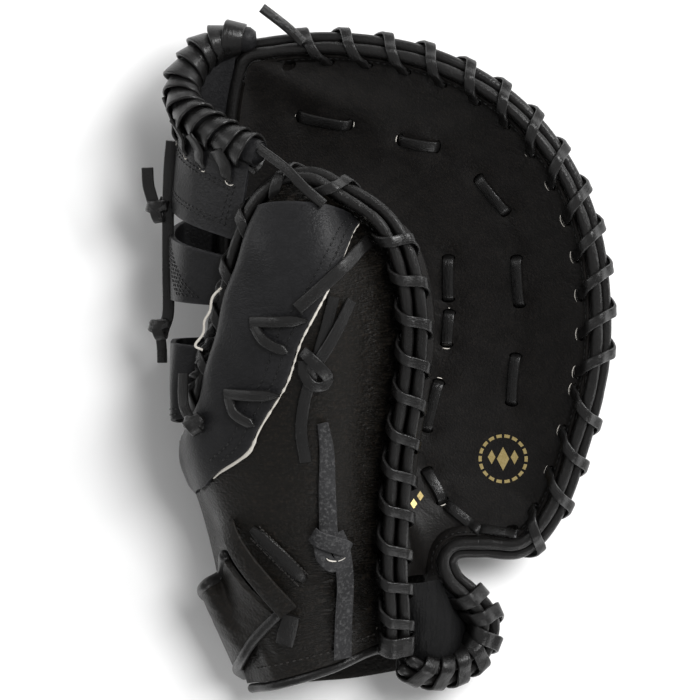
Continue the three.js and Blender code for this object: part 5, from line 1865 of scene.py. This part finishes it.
palm_rims, back_rims = [], []
for name, edge, start, end, lace_pitch, way in WHIP_LACES:
    for s in whip_places(edge, start, end, lace_pitch):
        spot = edge.at_length(s)
        if name != "thumb_web_lace":
            on_top = beside(spot, -HOLE_INSET - 1.3, WELT_SPREAD + PALM_THICKNESS / 2 - 0.1)
            palm_rims.append(pale_arc(on_top, spot["palm"], -spot["out"], spot["along"]))
        if edge is thumb_edge:
            on_top = beside(spot, -HOLE_INSET - 2.1, -WELT_SPREAD - BACK_THICKNESS / 2 - 0.7)
            ways = (-spot["palm"], -spot["out"], spot["along"])
            back_rims.append(pale_arc(on_top, *ways, half_turn=45, thick=0.42))
for route in PALM_LACE_ROUTES.values():
    for i, (middle, normal, way) in enumerate(lace_hole_frames(route)):
        outer_way = way if i % 2 else -way
        on_top = middle - normal * (PALM_THICKNESS / 2 - 0.9) + outer_way * 0.4
        ways = (-normal, outer_way, np.cross(normal, way))
        palm_rims.append(pale_arc(on_top, *ways, half_turn=34, thick=0.3))
dress(gathered("palm_hole_rims", palm_rims), "shell_leather", raw_edge)
thong_spot = thumb_back_leather.over(0.614, 0.222, OVER_THUMB + 2.3)
thong_up = thumb_back_leather.normal(0.614, 0.222)
thong_across = unit(thumb_back_leather.point(0.65, 0.222) - thumb_back_leather.point(0.6, 0.222))
thong_down = -np.cross(thong_up, thong_across)
fold_rim = pale_arc(
    thong_spot, thong_up, thong_down, thong_across, reach=(2.2, 5.2), half_turn=80, thick=0.42
)
dress(gathered("thumb_hole_rims", back_rims), "back_leather", raw_edge)
dress(gathered("thong_fold_rim", [fold_rim]), "thong_leather", raw_edge)

edge_random = np.random.default_rng(3)
raw_stations = []
for v in np.linspace(0.352, 0.942, 75):
    left, right = panel_sides(v)
    width = np.linalg.norm(thumb_back_leather.point(right, v) - thumb_back_leather.point(left, v))
    u = right + (right - left) * 0.35 / width
    normal = thumb_back_leather.normal(u, v)
    point = thumb_back_leather.over(u, v, ON_THUMB + 0.5)
    wide = 0.75 + 0.4 * edge_random.uniform(-1, 1) + 0.9 * math.exp(-(((v - 0.39) / 0.03) ** 2))
    raw_stations.append([point, normal, wide])
raw_points = np.array([row[0] for row in raw_stations])
raw_along = unit(np.gradient(raw_points, axis=0))
raw_rows = [(row[0], unit(np.cross(row[1], way)), row[2]) for row, way in zip(raw_stations, raw_along)]
raw_ribbon = strap("thumb_panel_raw_edge", raw_rows, width=1.25, thickness=1.0, smooth=2)
dress(raw_ribbon, "web_leather", raw_edge)


# Web laces at the front: loops that hang from the bar into slots of the top panel, and a
# plait that ties the panels to the thumb's edge, as flat black rawhide.
def on_panel(grid, row, u, lift):
    """A point over a panel's grid, at a share across it and a row that may lie between two."""
    raised = grid + lift * grid_normals(grid)
    j, i = min(int(row), len(grid) - 2), min(int(u * (grid.shape[1] - 1)), grid.shape[1] - 2)
    b, a = row - j, u * (grid.shape[1] - 1) - i
    near = raised[j, i] * (1 - a) + raised[j, i + 1] * a
    beyond = raised[j + 1, i] * (1 - a) + raised[j + 1, i + 1] * a
    return near * (1 - b) + beyond * b


loops, slots = [], []
for k, u in enumerate((0.3, 0.44, 0.58, 0.72, 0.86)):
    steps = [
        (on_panel(web_top_grid, 25, u - 0.03, 7.2), 1.15),
        (on_panel(web_top_grid, 23.6, u - 0.01, 5.2), 1.1),
        (on_panel(web_top_grid, 21.5, u + 0.015, 3.2), 1.0),
        (on_panel(web_top_grid, 19, u + 0.03, 2.4), 0.85),
        (on_panel(web_top_grid, 17.6, u + 0.045, 0.6), 0.6),
    ]
    across = unit(web_top_grid[16, int(u * 52) + 1] - web_top_grid[16, int(u * 52) - 1])
    loops.append(strap("loop", [(point, across, wide) for point, wide in steps], width=6.4, crown=0.5))
    down = unit(web_top_grid[8, int(u * 52)] - web_top_grid[16, int(u * 52)])
    foot = on_panel(web_top_grid, 17.5, u + 0.045, WEB_THICKNESS / 2 + 0.1)
    face_way = np.cross(across, down)
    slots.append(pale_arc(foot, face_way, down, across, reach=(1.6, 2.4), half_turn=70, thick=0.3))
dress(join("web_bar_loops", loops), "lace_leather", lace_hide)
dress(gathered("web_slot_rims", slots), "web_leather", raw_edge)

PLAIT = [(-69.5, 33, 88), (-72.5, 22, 87), (-75.5, 8, 84), (-80, -5, 80), (-86, -18, 72), (-90, -30, 62)]
plait_line = even(np.array(PLAIT, float), 80)
plait_along = unit(np.gradient(plait_line, axis=0))
plait_side = unit(np.cross(plait_along, (0, 0, 1)))
plait_rise = np.cross(plait_side, plait_along)
strands = []
for phase in (0, 1, 2):
    rows = []
    for k in range(80):
        turn = 2 * math.pi * (k / 80 * 3.2 + phase / 3)
        offset = plait_side[k] * 3.4 * math.sin(turn) + plait_rise[k] * 1.6 * math.sin(2 * turn)
        rows.append((plait_line[k] + offset, plait_side[k] + 0.35 * plait_rise[k] * math.cos(turn), 0.95))
    strands.append(strap("strand", rows[::2], width=5.0, smooth=3, crown=0.4))
dress(join("web_plait_rawhide", strands), "lace_leather", lace_hide)

FRAYED = [
    (-33.4, 8.9, 82),
    (-35.2, 7.6, 81),
    (-35.9, 5.5, 79),
    (-37.0, 4.2, 77.5),
    (-37.3, 2.4, 76),
    (-39.0, 0.6, 74.5),
    (-37.5, 0.0, 73.5),
]
plait_rows = [(point, plait_rise[0], 1.0) for point in placed(FRAYED)]
frayed = strap("web_frayed_edge", plait_rows, width=1.3, thickness=1.2, smooth=10)
dress(frayed, "web_leather", raw_edge)


# Laces that close the palm above the notch, and the stitched patch beside the strap keeper
def dropped(tree, xy, lift):
    hit, normal, _, _ = tree.ray_cast(Vector((xy[0] * MM, xy[1] * MM, 0.2)), Vector((0, 0, -1)))
    normal = normal if normal.z > 0 else -normal
    return np.array(hit) / MM + lift * np.array(normal), np.array(normal)


def tree_of(made):
    mesh = made.data
    points = [v.co.copy() for v in mesh.vertices]
    return BVHTree.FromPolygons(points, [tuple(f.vertices) for f in mesh.polygons])


palm_tree = tree_of(palm)
# Share along the dash and lift over the palm
DASH_LIFTS = [(-0.06, -1.2), (0.04, 0.6), (0.25, 1.2), (0.5, 1.3), (0.75, 1.2), (0.96, 0.6), (1.06, -1.2)]
dashes = []
for start, end in (((31.6, -73.7), (46.3, -85.4)), ((47.6, -85.2), (64.5, -88.0))):
    rows = []
    for share, lift in DASH_LIFTS:
        xy = np.array(start) + share * (np.array(end) - np.array(start))
        point, normal = dropped(palm_tree, xy, lift)
        way = np.append(np.array(end) - np.array(start), 0)
        rows.append((point, unit(np.cross(normal, way)), 0.95))
    dashes.append(strap("dash", rows, smooth=5, crown=0.3))
dress(join("palm_notch_lace", dashes), "lace_leather", lace_hide)
patch = laid(
    "keeper_patch_leather",
    [
        (0.455, 0.268, -0.9, 0.5),
        (0.468, 0.256, -0.6, 1.0),
        (0.5, 0.222, -0.5, 1.15),
        (0.53, 0.19, -0.6, 1.0),
        (0.54, 0.178, -0.9, 0.5),
    ],
    width=6.6,
    crown=0.9,
)
dress(patch, "back_leather", welt_hide)


# Stitching: waxed black thread, sewn by machine in even rows beside the welts, along the
# thumb panel and on the web, and a paler row at the wrist. One node tree makes every row.
GEOMETRY = "NodeSocketGeometry"
stitch_tree, row_in, row_out = new_group(
    "stitch row",
    [
        ("Geometry", GEOMETRY, None),
        ("Stitch length", FLOAT, 0.0022),
        ("Gap", FLOAT, 0.001),
        ("Thread", FLOAT, 0.0004),
        ("Material", "NodeSocketMaterial", None),
    ],
    [("Geometry", GEOMETRY)],
    kind="GeometryNodeTree",
)
stitch_tree.is_modifier = True
stitch_sockets = {
    item.name: item.identifier for item in stitch_tree.interface.items_tree if item.in_out == "INPUT"
}
row_curve = node(stitch_tree, "GeometryNodeMeshToCurve", {"Mesh": row_in["Geometry"]})
pitch = maths(stitch_tree, "ADD", row_in["Stitch length"], row_in["Gap"])
spaced = node(
    stitch_tree,
    "GeometryNodeCurveToPoints",
    {"Curve": row_curve.outputs[0], "Length": pitch},
    mode="LENGTH",
)
thread = node(stitch_tree, "GeometryNodeMeshUVSphere", {"Segments": 8, "Rings": 5, "Radius": 1.0})
half = maths(stitch_tree, "MULTIPLY", row_in["Stitch length"], 0.5)
size = node(
    stitch_tree,
    "ShaderNodeCombineXYZ",
    {"X": row_in["Thread"], "Y": row_in["Thread"], "Z": half},
)
sewn = node(
    stitch_tree,
    "GeometryNodeInstanceOnPoints",
    {
        "Points": spaced.outputs["Points"],
        "Instance": thread.outputs["Mesh"],
        "Rotation": spaced.outputs["Rotation"],
        "Scale": size.outputs[0],
    },
)
real = node(stitch_tree, "GeometryNodeRealizeInstances", {"Geometry": sewn.outputs[0]})
threaded = node(
    stitch_tree, "GeometryNodeSetMaterial", {"Geometry": real.outputs[0], "Material": row_in["Material"]}
)
stitch_tree.links.new(threaded.outputs[0], row_out["Geometry"])


def thread_material(name, colour, rough):
    made, tree = new_material(name)
    shader = tree.nodes["Principled BSDF"]
    place = node(tree, "ShaderNodeTexCoord")
    twist = node(
        tree,
        "ShaderNodeTexWave",
        {"Vector": place.outputs["Object"], "Scale": 700.0, "Distortion": 2.0},
        bands_direction="DIAGONAL",
    )
    # Painted shade: the thread is darker in the grooves of its twist.
    twist_colour_and_shade = mix(tree, twist.outputs["Fac"], [0.5 * c for c in colour], colour)
    bump = node(tree, "ShaderNodeBump", {"Height": twist.outputs["Fac"], "Distance": 0.00006})
    tree.links.new(twist_colour_and_shade, shader.inputs["Base Color"])
    tree.links.new(bump.outputs["Normal"], shader.inputs["Normal"])
    shader.inputs["Roughness"].default_value = rough
    return made


black_thread = thread_material("black thread", (0.006, 0.006, 0.006), 0.38)
dull_thread = thread_material("dull thread", (0.03, 0.028, 0.026), 0.5)


def stitch_rows(name, rows, material, length=2.2, gap=1.0, thread_radius=0.42):
    """One piece of sewn thread from rows of points in millimetres."""
    points, edges = [], []
    for row in rows:
        start = len(points)
        points.extend((np.asarray(row) * MM).tolist())
        edges.extend((k, k + 1) for k in range(start, len(points) - 1))
    mesh = bpy.data.meshes.new(name)
    mesh.from_pydata(points, edges, [])
    made = in_scene(name, mesh)
    sew = made.modifiers.new("stitch row", "NODES")
    sew.node_group = stitch_tree
    sew[stitch_sockets["Stitch length"]] = length * MM
    sew[stitch_sockets["Gap"]] = gap * MM
    sew[stitch_sockets["Thread"]] = thread_radius * MM
    sew[stitch_sockets["Material"]] = material
    apply_modifiers(made)
    made.data.shade_smooth()
    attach(made, "root")
    return made


ROW_STEP = 1.5


def edge_row(edge, start, end, out, palm):
    first, last = edge.length_at(*start), edge.length_at(*end)
    lengths = np.arange(first, last, ROW_STEP)
    return [beside(edge.at_length(s), out, palm) for s in lengths]


ON_PALM = WELT_SPREAD + PALM_THICKNESS / 2 + 0.1
ON_BACK = -(WELT_SPREAD + BACK_THICKNESS / 2 + 0.1)
stitch_rows(
    "palm_welt_stitches",
    [
        edge_row(finger_edge, ("rim", 0.17), ("rim", 0.99), -2.6, ON_PALM),
        edge_row(finger_edge, ("rim", 0.0), ("rim", 0.145), -2.6, WELT_SPREAD + 1.7),
    ],
    black_thread,
)
stitch_rows(
    "thumb_welt_stitches",
    [edge_row(thumb_edge, ("rim", 0.01), ("rim", 0.98), -2.6, ON_BACK)],
    black_thread,
)
panel_tree = tree_of(thumb_panel)
panel_rows = []
for inset in (2.6, 5.2):
    row = []
    for v in np.linspace(0.385, 0.935, 90):
        left, right = panel_sides(v)
        width = np.linalg.norm(thumb_back_leather.point(right, v) - thumb_back_leather.point(left, v))
        u = right - (right - left) * inset / width
        over = thumb_back_leather.over(u, v, ON_THUMB + WEB_THICKNESS + 0.6)
        surface = np.array(panel_tree.find_nearest(Vector(over * MM))[0]) / MM
        row.append(surface + 0.1 * thumb_back_leather.normal(u, v))
    panel_rows.append(row)
stitch_rows("thumb_panel_stitches", panel_rows, black_thread)
wrist_row = [
    thumb_back_leather.over(u, 0.028, BACK_THICKNESS / 2 + 0.15) for u in np.linspace(0.3, 0.93, 80)
]
web_rows = []
for first_row, last_row, first_u, last_u in ((4, 16.5, 0.3, 0.93), (5.2, 15.3, 0.32, 0.91)):
    corners = [(last_row, first_u), (last_row, last_u), (first_row, last_u), (first_row, first_u)]
    for a, b in zip(corners, corners[1:] + corners[:1]):
        row = []
        for share in np.linspace(0, 1, 40):
            j, u = a[0] + (b[0] - a[0]) * share, a[1] + (b[1] - a[1]) * share
            row.append(on_panel(web_top_grid, j, u, WEB_THICKNESS / 2 + 0.1))
        web_rows.append(row)
for first, last in ((0.42, 0.72), (0.48, 0.78), (0.54, 0.84)):
    for gap in (0, 0.025):
        row = []
        for share in np.linspace(0, 1, 24):
            k, u = 20 - 17 * share, first + gap + (last - first) * share
            row.append(on_panel(web_middle_grid, k, u, WEB_THICKNESS / 2 + 0.1))
        web_rows.append(row)
for row_index in (2, 4):
    us = np.linspace(0.2, 0.95, 60)
    web_rows.append([on_panel(web_low_grid, row_index, u, WEB_THICKNESS / 2 + 0.1) for u in us])
stitch_rows("web_stitches", web_rows, black_thread, length=1.9, gap=0.8, thread_radius=0.38)
patch_rows = []
for shift in (-0.012, 0.012):
    row = []
    for t in np.linspace(0, 1, 30):
        u, v = 0.462 + shift + 0.075 * t, 0.262 + shift * 0.8 - 0.082 * t
        row.append(thumb_back_leather.over(u, v, 2.6))
    patch_rows.append(row)
for t in np.linspace(0.04, 0.96, 12):
    u, v = 0.462 + 0.075 * t, 0.262 - 0.082 * t
    ends = [thumb_back_leather.over(u + a, v + a * 0.8, 2.9) for a in (-0.011, 0.0, 0.011)]
    patch_rows.append(ends)
stitch_rows(
    "patch_stitches", patch_rows, dull_thread, length=1.5, gap=0.5, thread_radius=0.36
)
stitch_rows(
    "wrist_stitches", [wrist_row], dull_thread, length=1.6, gap=1.6, thread_radius=0.4
)


# Foil mark on the palm: a plain ring of dashes round three diamonds, pressed in gold foil,
# and two small diamonds beside it.
MARK_MIDDLE = (58.2, -51.7)
MARK_RADIUS = 11.6
DASHES = 18
DASH_DEPTH = 1.5
foil, foil_tree = new_material("gold foil")
foil_shader = foil_tree.nodes["Principled BSDF"]
foil_place = node(foil_tree, "ShaderNodeTexCoord")
foil_wear = node(
    foil_tree, "ShaderNodeTexNoise", {"Vector": foil_place.outputs["Object"], "Scale": 900.0, "Detail": 3.0}
)
foil_colour = mix(foil_tree, foil_wear.outputs["Fac"], (0.55, 0.4, 0.12), (0.95, 0.78, 0.4))
foil_rough = node(
    foil_tree,
    "ShaderNodeMapRange",
    {"Value": foil_wear.outputs["Fac"], "From Min": 0.3, "From Max": 0.7, "To Min": 0.28, "To Max": 0.5},
)
foil_tree.links.new(foil_colour, foil_shader.inputs["Base Color"])
foil_tree.links.new(foil_rough.outputs[0], foil_shader.inputs["Roughness"])
foil_shader.inputs["Metallic"].default_value = 0.85

outlines = []
for k in range(DASHES):
    middle, reach = 2 * math.pi * k / DASHES, 2 * math.pi / DASHES * 0.34
    angles = np.linspace(middle - reach, middle + reach, 5)
    outer = [(MARK_RADIUS * math.cos(a), MARK_RADIUS * math.sin(a)) for a in angles]
    inside = MARK_RADIUS - DASH_DEPTH
    inner = [(inside * math.cos(a), inside * math.sin(a)) for a in angles[::-1]]
    outlines.append(outer + inner)
# Each diamond's place from the middle of the mark, its half width and its half height
DIAMONDS = [
    (0, 0, 2.9, 5.6),
    (-5.4, 0.8, 1.8, 3.4),
    (5.4, 0.8, 1.8, 3.4),
    (-42.5, -21.2, 1.6, 2.4),
    (-39.4, -17.6, 1.6, 2.4),
]
for dx, dy, wide, tall in DIAMONDS:
    outlines.append([(dx + wide, dy), (dx, dy + tall), (dx - wide, dy), (dx, dy - tall)])
foil_points, foil_faces = [], []
for outline in outlines:
    start = len(foil_points)
    ring = []
    for x, y in outline:
        above = Vector(((MARK_MIDDLE[0] + x) * MM, (MARK_MIDDLE[1] + y) * MM, 0.2))
        hit = palm_tree.ray_cast(above, Vector((0, 0, -1)))
        ring.append(np.array(hit[0]) / MM)
    foil_points += [point + (0, 0, 0.14) for point in ring] + [point - (0, 0, 0.1) for point in ring]
    n = len(ring)
    foil_faces.append(list(range(start, start + n)))
    foil_faces.append(list(range(start + n, start + 2 * n))[::-1])
    for k in range(n):
        a, b = start + k, start + (k + 1) % n
        foil_faces.append([b, a, a + n, b + n])
mark = outward(mesh_of("palm_foil_mark", foil_points, foil_faces))
dress(mark, "shell_leather", foil)


# Floor and light: a plain white floor and a key light from the upper right. A second light
# from there shows as sheen on the leather, and two weak ones fill the shadows.
FLOOR_HALF = 1.5
floor_mesh = bpy.data.meshes.new("floor")
floor_signs = [(-1, -1), (1, -1), (1, 1), (-1, 1)]
floor_corners = [(x * FLOOR_HALF, y * FLOOR_HALF, 0) for x, y in floor_signs]
floor_mesh.from_pydata(floor_corners, [], [[0, 1, 2, 3]])
floor = in_scene("floor", floor_mesh)
floor_material, floor_tree = new_material("white floor")
floor_shader = floor_tree.nodes["Principled BSDF"]
floor_shader.inputs["Base Color"].default_value = (0.9, 0.9, 0.9, 1)
floor_shader.inputs["Roughness"].default_value = 0.9
floor_shader.inputs["Specular IOR Level"].default_value = 0.1
floor_mesh.materials.append(floor_material)


def panel_light(name, place, width, height, power, mirrored=True):
    light = bpy.data.lights.new(name, "AREA")
    light.shape = "RECTANGLE"
    light.size = width
    light.size_y = height
    light.energy = power
    made = in_scene(name, light)
    made.location = place
    made.rotation_euler = (-Vector(place)).to_track_quat("-Z", "Y").to_euler()
    made.visible_glossy = mirrored


panel_light("key light", (0.44, 0.3, 1.3), 0.5, 0.5, 19, mirrored=False)
panel_light("sheen light", (0.95, 0.8, 0.95), 0.45, 0.45, 9)
panel_light("fill light", (-1.1, 0.6, 0.8), 0.4, 0.9, 2.5)
panel_light("low light", (0.5, -1.3, 0.7), 0.9, 0.4, 3.5)
world = bpy.data.worlds.new("studio")
world.use_nodes = True
world.node_tree.nodes["Background"].inputs["Color"].default_value = (1, 1, 1, 1)
world.node_tree.nodes["Background"].inputs["Strength"].default_value = 0.3
bpy.context.scene.world = world
bpy.context.scene.view_settings.view_transform = "Standard"
